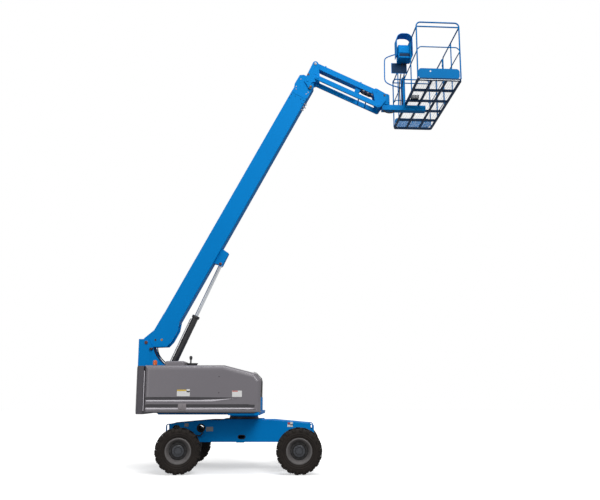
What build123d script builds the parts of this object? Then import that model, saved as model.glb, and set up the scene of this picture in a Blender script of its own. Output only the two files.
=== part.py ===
"""Self-propelled telescopic boom lift with a parallel-link jib and a work platform.

Millimetres. The origin lies on the ground under the middle of the whole machine, +Z is up,
the boom reaches towards +X, and the machine's right side is at -Y.
"""
from build123d import *
from math import atan2, cos, degrees, hypot, radians, sin
import os

os.makedirs("parts", exist_ok=True)

# Clearances
pin_gap = 0.05            # radial, between a pin and its bore
side_gap = 6.0            # between a moving plate and the plate beside it
seat_gap = 0.3            # between two pieces of one body that only touch

# Chassis and axles
mid_x = -1228.0           # halfway between the axles
wheelbase = 2510.0
frame_back = -1590.0      # ends of the chassis, from the middle
frame_front = 1570.0
frame_half = 480.0
frame_bottom = 600.0
frame_top_end = 976.0
frame_top = 1055.0
frame_wall = 14.0
slope_half = 700.0        # half of the level stretch under the turntable
turret_pad_half = 430.0
turret_pad = 20.0
end_round = 55.0
frame_lug = 110.0         # how far the side plates run past the box
slot_inset = 48.0         # the tie-down slots, from the plates' ends
slot_height = 893.0
slot_width = 40.0
slot_length = 138.0
hose_hole = 60.0

# Wheels
tyre_radius = 465.0
tyre_width = 340.0
carcass_radius = 437.0
lug_count = 18           # on each side of the tread
rim_seat = 245.0
rim_lip = 262.0
rim_width = 250.0
rim_wall = 12.0
wheel_centre_y = 1075.0
kingpin_y = 800.0
spindle_radius = 60.0
hub_radius = 134.0
steer_angle = 10.0       # the steered wheels as they stand

# Slew ring and turntable
slew_offset = 35.0        # slew axis, ahead of the middle of the wheelbase
ring_outer = 320.0
ring_inner = 240.0
ring_top = 1118.0
table_bottom = 1175.0
table_top = 1240.0
table_plate = 20.0
table_half = 560.0
tray_half = 1120.0
table_back = -1780.0      # from the middle of the wheelbase
weight_front = -1955.0    # the counterweight's front face
table_front = 440.0
sill_back = -200.0
left_short = 150.0        # how much shorter the left cover and its tray are
bulkhead_y = 445.0
bulkhead_wall = 20.0
bulkhead_top = 2180.0

# Turret and boom pivot
pivot_x = mid_x - 2152.0
pivot_z = 2743.0
pivot_pin = 40.0
cheek_y = 156.0
cheek_wall = 30.0
turret_rear = mid_x - 2318.0
turret_top = 2820.0
turret_step = 45.0        # the cheeks' lower part stands forward, in front of the counterweight
weight_top = 2180.0

# Boom: three nested box sections along one line
boom_angle = 61.9
section_top = -12.0       # top of the base section, measured up from the pivot's line
section_depth = 408.0
section_width = 300.0
section_wall = 8.0
section_step = 20.0       # outside of one section to the outside of the next, each side
section_corner = 18.0
root_length = 745.0
root_belly = 62.0         # how far the root plates reach below the section
base_start = 250.0
base_end = 6790.0
mid_start = 760.0
fly_start = 900.0
collar_length = 45.0
collar_gap = 6.0
head_start = base_end + 2 * (collar_length + collar_gap)
head_pivot = (7235.0, -225.0)
head_half = 120.0

# Lift cylinder
lift_base = (mid_x - 1805.0, 1745.0)
lift_eye = (mid_x - 549.0, 4551.0)
lift_pin = 30.0
lift_barrel = 70.0
lift_rod = 40.0
lift_barrel_length = 1770.0
lift_eye_radius = 48.0
lift_foot_radius = 78.0

# Jib: a parallelogram of one arm and one ladder-shaped link
jib_angle = -26.0
jib_length = 1600.0
jib_top_pivot = (mid_x + 1645.0, 9449.0)
jib_low_offset = (50.0, -376.0)   # from the arm's pivot to the link's pivot
jib_pin = 25.0
arm_depth = 130.0
arm_width = 190.0
arm_wall = 8.0
plate_y = 126.0                   # inner face of the bellcrank's and the support's plates
plate_wall = 22.0
link_depth = 110.0
link_wall = 40.0
link_y = plate_y + plate_wall + side_gap
link_rod = 15.0                   # the two rods that tie the link's bars
link_rod_near = 1100.0            # from the link's pivot
link_rod_far = 1290.0
link_rod_drop = -38.0
jib_cyl_base = (mid_x + 1645.0, 9189.0)
jib_cyl_eye = (1180.0, -239.0)    # along the arm and up from its line
jib_barrel = 38.0
jib_rod = 25.0
jib_barrel_length = 800.0

# Platform support, rotator and platform
rotator_x = mid_x + 3330.0
rotator_radius = 95.0
rotator_top = 8700.0
rotator_bottom = 8500.0
platform_yaw = 3.2
platform_rear = 454.0             # from the rotator's axis to the platform's rear edge
platform_width = 1000.0
platform_length = 2650.0
floor_bottom = 8440.0
floor_height = 50.0
rail_top = 9850.0
rail_low_bar = 120.0              # below the top rail
rail_mid = 9210.0
tube = 16.0                       # radius of the rails
beam_height = 128.0
beam_half = 75.0

# Covers
cover_outer = 1150.0
cover_inner = 470.0
cover_wall = 30.0
cover_back = -1940.0
cover_front = 460.0
cover_bottom = 1245.0
cover_top = 2195.0
hinge_z = cover_top + 12
hinge_pin = 9.0
hinge_barrel = 14.0
hinge_tab = 30.0
hinge_reach = 75.0
hinge_places = (-1700.0, -560.0)
hump = (-1549.0, -1130.0, 560.0, 1040.0, 2285.0)   # back, front, inner y, outer y, top
groove_depth = 12.0
beacon_x = -1890.0


def from_middle(x):
    """An x measured from the middle of the wheelbase, in the part's frame."""
    return mid_x + x


def save(piece, name):
    """Label a finished piece and write it."""
    piece.label = name
    export_step(piece, f"parts/{name}.step")


# Directions and points along the boom
boom_dir = (cos(radians(boom_angle)), 0, sin(radians(boom_angle)))
boom_up = (-sin(radians(boom_angle)), 0, cos(radians(boom_angle)))
section_mid = section_top - section_depth / 2
boom_side = Plane(origin=(pivot_x, 0, pivot_z), x_dir=boom_dir, z_dir=(0, -1, 0))


def boom_point(along, up):
    """A point of the boom's own frame, in the part's frame."""
    return (
        pivot_x + along * boom_dir[0] + up * boom_up[0],
        0,
        pivot_z + along * boom_dir[2] + up * boom_up[2],
    )


def boom_cross(along):
    """The plane across the boom at a distance from the pivot."""
    return Plane(origin=boom_point(along, section_mid), x_dir=(0, 1, 0), z_dir=boom_dir)


def side_frame(start, end):
    """A plane seen from the right side, its x running from start to end, both (x, z)."""
    run = (end[0] - start[0], 0, end[1] - start[1])
    return Plane(origin=(start[0], 0, start[1]), x_dir=run, z_dir=(0, -1, 0))


# Chassis frame: a hollow box that rises to the turret pad, with the side plates run on past its ends
with BuildPart() as chassis_frame:
    with BuildSketch(Plane.XZ):
        with BuildLine():
            Polyline(
                (from_middle(frame_back), frame_bottom),
                (from_middle(frame_front), frame_bottom),
                (from_middle(frame_front), frame_top_end),
                (from_middle(slope_half), frame_top),
                (from_middle(-slope_half), frame_top),
                (from_middle(frame_back), frame_top_end),
                close=True,
            )
        make_face()
        fillet(vertices().group_by(Axis.X)[0] + vertices().group_by(Axis.X)[-1], end_round)
    extrude(amount=frame_half, both=True)
    with BuildSketch(Plane.XZ):
        with BuildLine():
            Polyline(
                (from_middle(frame_back + frame_lug + frame_wall), frame_bottom + frame_wall),
                (from_middle(frame_front - frame_lug - frame_wall), frame_bottom + frame_wall),
                (from_middle(frame_front - frame_lug - frame_wall), frame_top_end - frame_wall),
                (from_middle(slope_half), frame_top - frame_wall),
                (from_middle(-slope_half), frame_top - frame_wall),
                (from_middle(frame_back + frame_lug + frame_wall), frame_top_end - frame_wall),
                close=True,
            )
        make_face()
    extrude(amount=frame_half - frame_wall, both=True, mode=Mode.SUBTRACT)
    with BuildSketch(Plane.XY.offset(frame_bottom - frame_wall)):
        with Locations((from_middle(frame_back), 0), (from_middle(frame_front), 0)):
            Rectangle(2 * frame_lug, 2 * (frame_half - frame_wall))
    extrude(amount=frame_top - frame_bottom, mode=Mode.SUBTRACT)
    with BuildSketch(Plane.XY.offset(frame_top)):
        with Locations((from_middle(slew_offset), 0)):
            RectangleRounded(2 * turret_pad_half, 2 * frame_half, 40)
    extrude(amount=turret_pad)
    openings = [  # middle x, middle z, length, height, on the right side only
        (frame_back + slot_inset, slot_height, slot_width, slot_length, False),
        (frame_front - slot_inset, slot_height, slot_width, slot_length, False),
        (-1365, 880, 170, 150, False),
        (27, 705, 132, 62, True),
    ]
    for x, z, length, height, right_only in openings:
        with BuildSketch(Plane.XZ.offset(frame_half)):
            with Locations((from_middle(x), z)):
                RectangleRounded(length, height, min(length, height) / 2 - 1)
        extrude(amount=-2 * frame_wall if right_only else -2 * frame_half, mode=Mode.SUBTRACT)
    with BuildSketch(Plane.XZ.offset(frame_half)):
        with Locations((from_middle(-840), 892)):
            Circle(hose_hole)
    extrude(amount=-2 * frame_wall, mode=Mode.SUBTRACT)
    with BuildSketch(Plane.XZ.offset(-frame_half)):
        with Locations((from_middle(-950), 860)):
            RectangleRounded(300, 170, 60)
    extrude(amount=2 * frame_wall, mode=Mode.SUBTRACT)
save(chassis_frame.part, "chassis_frame")

with BuildPart() as steer_manifold:
    with BuildSketch(Plane.XY.offset(frame_bottom + frame_wall)):
        with Locations((from_middle(-1365), 0)):
            Rectangle(110, 700)
    extrude(amount=880 - frame_bottom - frame_wall)
    with BuildSketch(Plane.XY.offset(880)):
        with GridLocations(0, 150, 1, 5):
            with Locations((from_middle(-1365), 0)):
                Circle(28)
    extrude(amount=45)
save(steer_manifold.part, "steer_manifold")

# Slew ring, bolted to the pad
with BuildPart() as slew_ring:
    with BuildSketch(Plane.XY.offset(frame_top + turret_pad)):
        with Locations((from_middle(slew_offset), 0)):
            Circle(ring_outer)
            Circle(ring_inner, mode=Mode.SUBTRACT)
    extrude(amount=ring_top - frame_top - turret_pad)
save(slew_ring.part, "slew_ring")

# Axles: the beams, their pads under the chassis and the spindles or kingpins
drive_x = from_middle(wheelbase / 2)
steer_x = from_middle(-wheelbase / 2)
beam_end = 690.0
beam_bottom = 380.0
beam_top = 560.0
spindle_end = wheel_centre_y + 50

with BuildPart() as drive_axle:
    with BuildSketch(Plane.XZ):
        with Locations((drive_x, (beam_bottom + beam_top) / 2)):
            RectangleRounded(200, beam_top - beam_bottom, 30)
    extrude(amount=beam_end, both=True)
    with BuildSketch(Plane.XY.offset(beam_top)):
        with Locations((drive_x, -300), (drive_x, 300)):
            Rectangle(260, 160)
    extrude(amount=frame_bottom - beam_top)
    with BuildSketch(Plane.XZ.offset(beam_end)):
        with Locations((drive_x, tyre_radius)):
            Circle(hub_radius - 10)
    extrude(amount=170)
    with BuildSketch(Plane.XZ.offset(beam_end + 170)):
        with Locations((drive_x, tyre_radius)):
            Circle(spindle_radius)
    extrude(amount=spindle_end - beam_end - 170)
    mirror(about=Plane.XZ)
save(drive_axle.part, "drive_axle")

ear_low = tyre_radius - 130
ear_high = tyre_radius + 130
ear_wall = 30.0
knuckle_half = 130 - ear_wall - seat_gap
kingpin_radius = 30.0

with BuildPart() as steer_axle:
    with BuildSketch(Plane.XZ):
        with Locations((steer_x, (beam_bottom + beam_top) / 2)):
            RectangleRounded(180, beam_top - beam_bottom, 30)
    extrude(amount=beam_end, both=True)
    with BuildSketch(Plane.XY.offset(beam_top)):
        with Locations((steer_x, 0)):
            Rectangle(240, 220)
    extrude(amount=frame_bottom - beam_top)
    with BuildSketch(Plane.YZ.offset(steer_x)):
        with BuildLine():
            Polyline(
                (-beam_end + 40, ear_low), (-kingpin_y - 55, ear_low),
                (-kingpin_y - 55, ear_low + ear_wall), (-beam_end - 20, ear_low + ear_wall),
                (-beam_end - 20, ear_high - ear_wall), (-kingpin_y - 55, ear_high - ear_wall),
                (-kingpin_y - 55, ear_high), (-beam_end + 40, ear_high),
                close=True,
            )
        make_face()
    extrude(amount=60, both=True)
    with BuildSketch(Plane.XY.offset(ear_low)):
        with Locations((steer_x, -kingpin_y)):
            Circle(kingpin_radius)
    extrude(amount=ear_high - ear_low)
    mirror(about=Plane.XZ)
save(steer_axle.part, "steer_axle")

# Wheels: each is modelled round its kingpin or spindle, outward to -Y, and placed by the table
wheel_y = kingpin_y - wheel_centre_y
half_seat = rim_width / 2 - 10 - seat_gap
half_tyre = tyre_width / 2

with BuildPart() as tyre_blank:
    with BuildSketch(Plane.XY):
        with BuildLine():
            Polyline(
                (rim_seat + seat_gap, wheel_y - half_seat),
                (rim_lip, wheel_y - half_seat),
                (rim_lip + 40, wheel_y - half_tyre + 12),
                (tyre_radius - 95, wheel_y - half_tyre),
                (carcass_radius, wheel_y - half_tyre + 22),
                (carcass_radius, wheel_y + half_tyre - 22),
                (tyre_radius - 95, wheel_y + half_tyre),
                (rim_lip + 40, wheel_y + half_tyre - 12),
                (rim_lip, wheel_y + half_seat),
                (rim_seat + seat_gap, wheel_y + half_seat),
                close=True,
            )
        make_face()
    revolve(axis=Axis.Y)
    with BuildPart(mode=Mode.PRIVATE) as tread:
        for side in (-1, 1):
            with BuildSketch(Plane.YZ.offset(carcass_radius - 55)):
                with BuildLine():
                    Polyline(
                        (wheel_y - side * 18, -20), (wheel_y + side * half_tyre, 14),
                        (wheel_y + side * half_tyre, 70), (wheel_y - side * 18, 16),
                        close=True,
                    )
                make_face()
            extrude(amount=tyre_radius - carcass_radius + 60)
    with BuildPart(mode=Mode.PRIVATE) as crown:
        with BuildSketch(Plane.XY):
            with BuildLine():
                Polyline(
                    (carcass_radius - 60, wheel_y - half_tyre), (tyre_radius, wheel_y - half_tyre + 16),
                    (tyre_radius, wheel_y + half_tyre - 16), (carcass_radius - 60, wheel_y + half_tyre),
                    close=True,
                )
            make_face()
        revolve(axis=Axis.Y)
    bars = tread.part & crown.part
    pitch = 360 / lug_count
    for side_bars, shift in [(bars.solids().sort_by(Axis.Y)[0], 0.0), (bars.solids().sort_by(Axis.Y)[-1], 0.5)]:
        for step in range(lug_count):
            add(side_bars.rotate(Axis.Y, 90 + (step + shift) * pitch))

with BuildPart() as rim_blank:
    with BuildSketch(Plane.XY):
        with BuildLine():
            Polyline(
                (spindle_radius + pin_gap, wheel_y + 100),
                (spindle_radius + pin_gap, wheel_y - 55),
                (0, wheel_y - 55),
                (0, wheel_y - 90),
                (70, wheel_y - 90),
                (76, wheel_y - 75),
                (hub_radius - 14, wheel_y - 75),
                (hub_radius, wheel_y - 60),
                (hub_radius, wheel_y - 24),
                (rim_seat - rim_wall, wheel_y - 10),
                (rim_seat - rim_wall, wheel_y - rim_width / 2),
                (rim_lip, wheel_y - rim_width / 2),
                (rim_lip, wheel_y - rim_width / 2 + 10),
                (rim_seat, wheel_y - rim_width / 2 + 10),
                (rim_seat, wheel_y + rim_width / 2 - 10),
                (rim_lip, wheel_y + rim_width / 2 - 10),
                (rim_lip, wheel_y + rim_width / 2),
                (rim_seat - rim_wall, wheel_y + rim_width / 2),
                (rim_seat - rim_wall, wheel_y + 8),
                (110, wheel_y + 8),
                (100, wheel_y + 100),
                close=True,
            )
        make_face()
    revolve(axis=Axis.Y)

with BuildPart() as knuckle_blank:
    with BuildSketch(Plane.XY.offset(-knuckle_half)):
        Circle(58)
    extrude(amount=2 * knuckle_half)
    with BuildSketch(Plane.XZ.offset(30)):
        Circle(90)
    extrude(amount=70)
    with BuildSketch(Plane.XZ.offset(90)):
        Circle(spindle_radius)
    extrude(amount=spindle_end - kingpin_y - 90)
    with BuildSketch(Plane.XY.offset(-knuckle_half)):
        Circle(kingpin_radius + pin_gap)
    extrude(amount=2 * knuckle_half, mode=Mode.SUBTRACT)

wheels = [  # name, axle x, side (-1 right, 1 left), turned by
    ("steer_right", steer_x, -1, steer_angle),
    ("steer_left", steer_x, 1, steer_angle),
    ("drive_right", drive_x, -1, 0.0),
    ("drive_left", drive_x, 1, 0.0),
]
for name, axle_x, side, turned in wheels:
    at_axle = Location((axle_x, side * kingpin_y, tyre_radius), (0, 0, turned + (180 if side > 0 else 0)))
    pieces = [(f"tyre_{name}", tyre_blank), (f"rim_{name}", rim_blank)]
    if name.startswith("steer"):
        pieces.append((f"knuckle_{name[6:]}", knuckle_blank))
    for piece_name, blank in pieces:
        with BuildPart() as wheel_piece:
            add(blank.part.moved(at_axle))
            if blank is knuckle_blank:
                with BuildSketch(Plane.XY.offset(tyre_radius - 20)):
                    with Locations(Location((axle_x, side * kingpin_y, 0), (0, 0, turned))):
                        with Locations((95, side * 12)):
                            Rectangle(110, 36)
                        with Locations((150, side * 12)):
                            Circle(24)
                extrude(amount=40)
        save(wheel_piece.part, piece_name)

# Steer cylinder, in front of the steered axle's beam
with BuildPart() as steer_cylinder:
    cylinder_x = steer_x + 165
    for radius, half in [(44, 330), (20, 610)]:
        with BuildSketch(Plane.XZ):
            with Locations((cylinder_x, tyre_radius)):
                Circle(radius)
        extrude(amount=half, both=True)
    with BuildSketch(Plane.XZ):
        with Locations((cylinder_x - 40, tyre_radius)):
            Rectangle(70 - 2 * seat_gap, 50)
    extrude(amount=120, both=True)
save(steer_cylinder.part, "steer_cylinder")

# Turntable base: table, trays, bulkheads and the race that turns inside the slew ring
with BuildPart() as turntable_base:
    with BuildSketch(Plane.XZ):
        with BuildLine():
            Polyline(
                (from_middle(table_back - 40), table_top), (from_middle(table_back + 40), table_bottom),
                (from_middle(table_front), table_bottom), (from_middle(table_front), table_top),
                close=True,
            )
        make_face()
    extrude(amount=table_half, both=True)
    trays = [  # back x, front x, right edge, left edge, bottom
        (sill_back, table_front, -tray_half, 0, table_bottom),
        (sill_back, table_front - left_short, 0, tray_half, table_bottom),
        (cover_back + 100, sill_back, -tray_half, tray_half, table_top - table_plate),
        (weight_front + seat_gap, table_back, -table_half, table_half, table_top - table_plate),
    ]
    for back, front, right, left, bottom in trays:
        with BuildSketch(Plane.XY.offset(bottom)):
            with Locations((from_middle((back + front) / 2), (right + left) / 2)):
                Rectangle(front - back, left - right)
        extrude(amount=table_top - bottom)
    with BuildSketch(Plane.XY.offset(table_bottom)):
        with Locations((from_middle((table_back + 60 + table_front - table_plate) / 2), 0)):
            Rectangle(table_front - table_plate - table_back - 60, 2 * (table_half - table_plate))
        for side, short in [(-1, 0), (1, left_short)]:
            front = table_front - short
            with Locations((from_middle((sill_back + front) / 2), side * (tray_half - table_plate) / 2)):
                Rectangle(front - sill_back - 2 * table_plate, tray_half - table_plate)
    extrude(amount=table_top - table_plate - table_bottom, mode=Mode.SUBTRACT)
    with BuildSketch(Plane.XY.offset(frame_top + turret_pad + 5)):
        with Locations((from_middle(slew_offset), 0)):
            Circle(ring_inner - 2 * pin_gap)
            Circle(ring_inner - 60, mode=Mode.SUBTRACT)
    extrude(amount=table_top - table_plate - frame_top - turret_pad - 5)
    with BuildSketch(Plane.XY.offset(ring_top + 5)):
        with Locations((from_middle(slew_offset), 0)):
            Circle(ring_outer - 10)
            Circle(ring_inner - 60, mode=Mode.SUBTRACT)
    extrude(amount=table_bottom + 30 - ring_top - 5)
    with BuildSketch(Plane.XZ.offset(bulkhead_y)):
        with BuildLine():
            Polyline(
                (from_middle(cover_back + 20), table_top),
                (from_middle(cover_front - 120), table_top),
                (from_middle(cover_front - 120), 1800),
                (from_middle(-280), bulkhead_top),
                (from_middle(cover_back + 20), bulkhead_top),
                close=True,
            )
        make_face()
        fillet(vertices().group_by(Axis.X)[-1].sort_by(Axis.Y)[-1], 60)
    extrude(amount=bulkhead_wall)
    with BuildSketch(Plane.XZ.offset(bulkhead_y)):
        for x in hinge_places:
            with Locations((from_middle(x), (2150 + hinge_z + hinge_barrel) / 2)):
                Rectangle(hinge_tab, hinge_z + hinge_barrel - 2150)
    extrude(amount=cover_inner - 1 - bulkhead_y)
    for x in hinge_places:
        with BuildSketch(Plane.YZ.offset(from_middle(x))):
            with Locations((-cover_inner, hinge_z)):
                Circle(hinge_pin)
        extrude(amount=hinge_reach, both=True)
    mirror(about=Plane.XZ)
    with BuildSketch(Plane.XY.offset(bulkhead_top - 8)):
        with Locations((from_middle(beacon_x), -bulkhead_y + 45)):
            Rectangle(120, 110)
    extrude(amount=8)
save(turntable_base.part, "turntable_base")

with BuildPart() as beacon:
    for bottom, top, radius in [(bulkhead_top, bulkhead_top + 40, 46), (bulkhead_top + 40, bulkhead_top + 96, 40)]:
        with BuildSketch(Plane.XY.offset(bottom)):
            with Locations((from_middle(beacon_x), -bulkhead_y + 45)):
                Circle(radius)
        extrude(amount=top - bottom)
    fillet(faces().sort_by(Axis.Z)[-1].edges(), 24)
save(beacon.part, "beacon")

# Turret: two tall cheeks that carry the boom's pin and the lift cylinder's pin
with BuildPart() as turret:
    with BuildSketch(Plane.XZ.offset(cheek_y)):
        with BuildLine():
            rear_edge = Polyline(
                (from_middle(-1150), table_top),
                (turret_rear + turret_step, table_top),
                (turret_rear + turret_step, weight_top + seat_gap),
                (turret_rear, weight_top + seat_gap),
                (turret_rear, turret_top),
                (pivot_x + 40, turret_top),
                (from_middle(-1993), 2632),
            )
            ThreePointArc((from_middle(-1993), 2632), (from_middle(-1905), 2420), (from_middle(-1736), 2237))
            Polyline((from_middle(-1736), 2237), (from_middle(-1150), 1500), (from_middle(-1150), table_top))
        make_face()
    extrude(amount=cheek_wall)
    mirror(about=Plane.XZ)
    with BuildSketch(Plane.XY.offset(table_top)):
        with Locations((turret_rear + turret_step + 10, 0)):
            Rectangle(20, 2 * cheek_y)
    extrude(amount=2450 - table_top)
    with BuildSketch(Plane.XZ):
        with Locations((pivot_x, pivot_z)):
            Circle(pivot_pin)
        with Locations(lift_base):
            Circle(lift_pin)
    extrude(amount=cheek_y + cheek_wall + 12, both=True)
save(turret.part, "turret")

# Counterweight across the tail
with BuildPart() as counterweight:
    with BuildSketch(Plane.XY.offset(table_bottom + 20)):
        with BuildLine():
            Polyline(
                (from_middle(weight_front), -1130), (from_middle(weight_front), 1130),
                (from_middle(-2080), 1130), (turret_rear, 230),
                (turret_rear, -230), (from_middle(-2080), -1130),
                close=True,
            )
        make_face()
        fillet(vertices().group_by(Axis.Y)[0].sort_by(Axis.X)[0], 55)
        fillet(vertices().group_by(Axis.Y)[-1].sort_by(Axis.X)[0], 55)
    extrude(amount=weight_top - table_bottom - 20)
    fillet(edges().group_by(Axis.Z)[-1].sort_by(Axis.X)[0], 30)
    with BuildSketch(Plane.XY.offset(table_bottom)):
        with Locations((turret_rear + turret_step - seat_gap + 220, 0)):
            Rectangle(440, 2 * (cheek_y + cheek_wall + seat_gap))
    extrude(amount=1200, mode=Mode.SUBTRACT)
save(counterweight.part, "counterweight")

# Machinery under the covers
machinery = [  # name, back x, front x, inner y, outer y, top
    ("engine", -1500, -500, 520, 1000, 1900),
    ("hydraulic_tank", -1500, -850, -1020, -520, 1900),
    ("fuel_tank", -750, -100, -1020, -520, 1800),
]
for name, back, front, inner, outer, top in machinery:
    with BuildPart() as block:
        with BuildSketch(Plane.XY.offset(table_top)):
            with Locations((from_middle((back + front) / 2), (inner + outer) / 2)):
                RectangleRounded(front - back, outer - inner, 40)
        extrude(amount=top - table_top)
    save(block.part, name)

# Covers: moulded shells hinged along their inner top edges
cover_round = 105.0


def cover(short):
    """A right-hand cover, its front end drawn back by short."""
    with BuildPart() as shell:
        with BuildSketch(Plane.XZ.offset(cover_inner)):
            with BuildLine():
                Polyline(
                    (from_middle(cover_back), cover_bottom),
                    (from_middle(cover_front - short), cover_bottom),
                    (from_middle(cover_front + 10 - short), 1888),
                    (from_middle(345 - short), 2031),
                    (from_middle(-297), cover_top),
                    (from_middle(cover_back), cover_top),
                    close=True,
                )
            make_face()
            fillet(vertices().group_by(Axis.X)[-1], 90)
        extrude(amount=cover_outer - cover_inner)
        outer_edges = edges().filter_by(Axis.Y, reverse=True).group_by(Axis.Y)[0]
        fillet(outer_edges.filter_by(lambda e: e.center().Z > cover_bottom + 10), cover_round)
        offset(
            amount=-cover_wall,
            openings=faces().filter_by(Axis.Z).sort_by(Axis.Z)[:1] + faces().filter_by(Axis.Y).sort_by(Axis.Y)[-1:],
        )
        with BuildPart(mode=Mode.PRIVATE) as raised:
            with BuildSketch(Plane.XY.offset(cover_top - cover_wall)):
                with Locations((from_middle((hump[0] + hump[1]) / 2), -(hump[2] + hump[3]) / 2)):
                    RectangleRounded(hump[1] - hump[0], hump[3] - hump[2], 60)
            extrude(amount=hump[4] - cover_top + cover_wall)
            fillet(faces().sort_by(Axis.Z)[-1].edges(), 40)
        add(raised.part)
        grooves = [  # middle z, height, back x, front x
            (1513, 58, cover_back + 40, -760),
            (1363, 70, cover_back + 40, 240 - short),
        ]
        for z, height, back, front in grooves:
            with BuildSketch(Plane.XZ.offset(cover_outer + 1)):
                with Locations((from_middle((back + front) / 2), z)):
                    RectangleRounded(front - back, height, height / 2 - 1)
            extrude(amount=-groove_depth - 1, mode=Mode.SUBTRACT)
        for x in hinge_places:
            for start in (x + hinge_tab / 2 + 5, x - hinge_reach):
                with BuildSketch(Plane.YZ.offset(from_middle(start))):
                    with Locations((-cover_inner, hinge_z)):
                        Circle(hinge_barrel)
                extrude(amount=hinge_reach - hinge_tab / 2 - 5)
            with BuildSketch(Plane.YZ.offset(from_middle(x))):
                with Locations((-cover_inner, hinge_z)):
                    Circle(hinge_pin + pin_gap)
            extrude(amount=hinge_reach + 1, both=True, mode=Mode.SUBTRACT)
    return shell.part


save(cover(0), "cover_right")
save(cover(left_short).mirror(Plane.XZ), "cover_left")

with BuildPart() as intake_cap:
    with BuildSketch(Plane.XY.offset(cover_top)):
        with Locations((from_middle(-1010), -800)):
            RectangleRounded(200, 130, 30)
    extrude(amount=52)
    for bottom, top, radius in [(cover_top + 52, cover_top + 140, 16), (cover_top + 130, cover_top + 205, 27)]:
        with BuildSketch(Plane.XY.offset(bottom)):
            with Locations((from_middle(-1042), -800)):
                Circle(radius)
        extrude(amount=top - bottom)
save(intake_cap.part, "intake_cap")

# Boom, base section: the box and its root with the pivot bore and the lift cylinder's ears
ear_dx = lift_eye[0] - pivot_x
ear_dz = lift_eye[1] - pivot_z
ear_along = ear_dx * boom_dir[0] + ear_dz * boom_dir[2]
ear_up = ear_dx * boom_up[0] + ear_dz * boom_up[2]
ear_inner = 42.0
ear_wall_lift = 28.0
section_sizes = []
for step in range(3):
    section_sizes.append((section_width - 2 * section_step * step, section_depth - 2 * section_step * step))

with BuildPart() as boom_base:
    width, depth = section_sizes[0]
    with BuildSketch(boom_cross(base_start)):
        RectangleRounded(width, depth, section_corner)
        RectangleRounded(width - 2 * section_wall, depth - 2 * section_wall, section_corner - section_wall,
                         mode=Mode.SUBTRACT)
    extrude(amount=base_end - base_start)
    with BuildSketch(boom_side.offset(section_width / 2 - 22)):
        with BuildLine():
            Polyline(
                (-98, 0), (-70, 75), (0, 98), (58, 98), (321, section_top + 6),
                (root_length, section_top), (root_length, section_top - section_depth),
                (560, section_top - section_depth - root_belly), (285, section_top - section_depth - root_belly),
                (138, section_top - section_depth - 23), (-33, -148),
                close=True,
            )
        make_face()
        Circle(pivot_pin + pin_gap, mode=Mode.SUBTRACT)
    extrude(amount=22)
    with BuildSketch(boom_side.offset(ear_inner)):
        with BuildLine():
            Polyline(
                (ear_along - 60, section_top - section_depth + 4),
                (ear_along + 330, section_top - section_depth + 4),
                (ear_along + 310, ear_up - 40), (ear_along, ear_up - 54),
                close=True,
            )
        make_face()
        with Locations((ear_along, ear_up)):
            Circle(56)
    extrude(amount=ear_wall_lift)
    with BuildSketch(boom_side.offset(ear_inner)):
        with Locations((ear_along, ear_up)):
            Circle(lift_pin)
    extrude(amount=ear_wall_lift + 12)
    mirror(about=Plane.XZ)
save(boom_base.part, "boom_base")

pad_reach = 2 * (section_step - section_wall - seat_gap)
pad_length = 90.0

for name, start, step, end in [("boom_mid", mid_start, 1, base_end + collar_gap), ("boom_fly", fly_start, 2, head_start)]:
    width, depth = section_sizes[step]
    with BuildPart() as section:
        with BuildSketch(boom_cross(start)):
            RectangleRounded(width, depth, section_corner - 4 * step)
            RectangleRounded(width - 2 * section_wall, depth - 2 * section_wall,
                             section_corner - 4 * step - section_wall / 2, mode=Mode.SUBTRACT)
        extrude(amount=end - start)
        with BuildSketch(boom_cross(start)):
            RectangleRounded(width + pad_reach, depth + pad_reach, section_corner - 4 * step)
            RectangleRounded(width - 2, depth - 2, section_corner - 4 * step, mode=Mode.SUBTRACT)
        extrude(amount=pad_length)
        if name == "boom_mid":
            with BuildSketch(boom_cross(end)):
                RectangleRounded(section_width, section_depth, section_corner)
                RectangleRounded(width - 2 * section_wall, depth - 2 * section_wall, 6, mode=Mode.SUBTRACT)
            extrude(amount=collar_length)
        else:
            with BuildSketch(boom_side):
                with BuildLine():
                    Polyline(
                        (head_start - collar_length, section_top), (head_start + 50, section_top),
                        (head_start + 150, 20), (7285, 14), (7340, -70), (7330, -330),
                        (7180, section_top - section_depth),
                        (head_start - collar_length, section_top - section_depth),
                        close=True,
                    )
                make_face()
                fillet(vertices().group_by(Axis.X)[-1] + vertices().group_by(Axis.X)[-2], 28)
                with Locations(head_pivot):
                    Circle(jib_pin + pin_gap, mode=Mode.SUBTRACT)
            extrude(amount=head_half, both=True)
    save(section.part, name)

# Lift cylinder: its barrel is pinned in the turret, its rod's eye sits between ears under the boom
lift_length = hypot(lift_eye[0] - lift_base[0], lift_eye[1] - lift_base[1])
lift_side = side_frame(lift_base, lift_eye)
lift_cross = Plane(origin=lift_side.origin, x_dir=(0, 1, 0), z_dir=lift_side.x_dir)

with BuildPart() as lift_barrel_piece:
    with BuildSketch(lift_side):
        Circle(lift_foot_radius)
    extrude(amount=cheek_y - side_gap, both=True)
    with BuildSketch(lift_cross):
        Circle(lift_barrel)
    extrude(amount=lift_barrel_length - 60)
    with BuildSketch(lift_cross.offset(lift_barrel_length - 60)):
        Circle(lift_barrel + 10)
    extrude(amount=60)
    with BuildSketch(lift_cross.offset(150)):
        Circle(lift_rod + pin_gap)
    extrude(amount=lift_barrel_length - 150, mode=Mode.SUBTRACT)
    with BuildSketch(lift_side):
        Circle(lift_pin + pin_gap)
    extrude(amount=cheek_y, both=True, mode=Mode.SUBTRACT)
save(lift_barrel_piece.part, "lift_cylinder_barrel")

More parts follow.
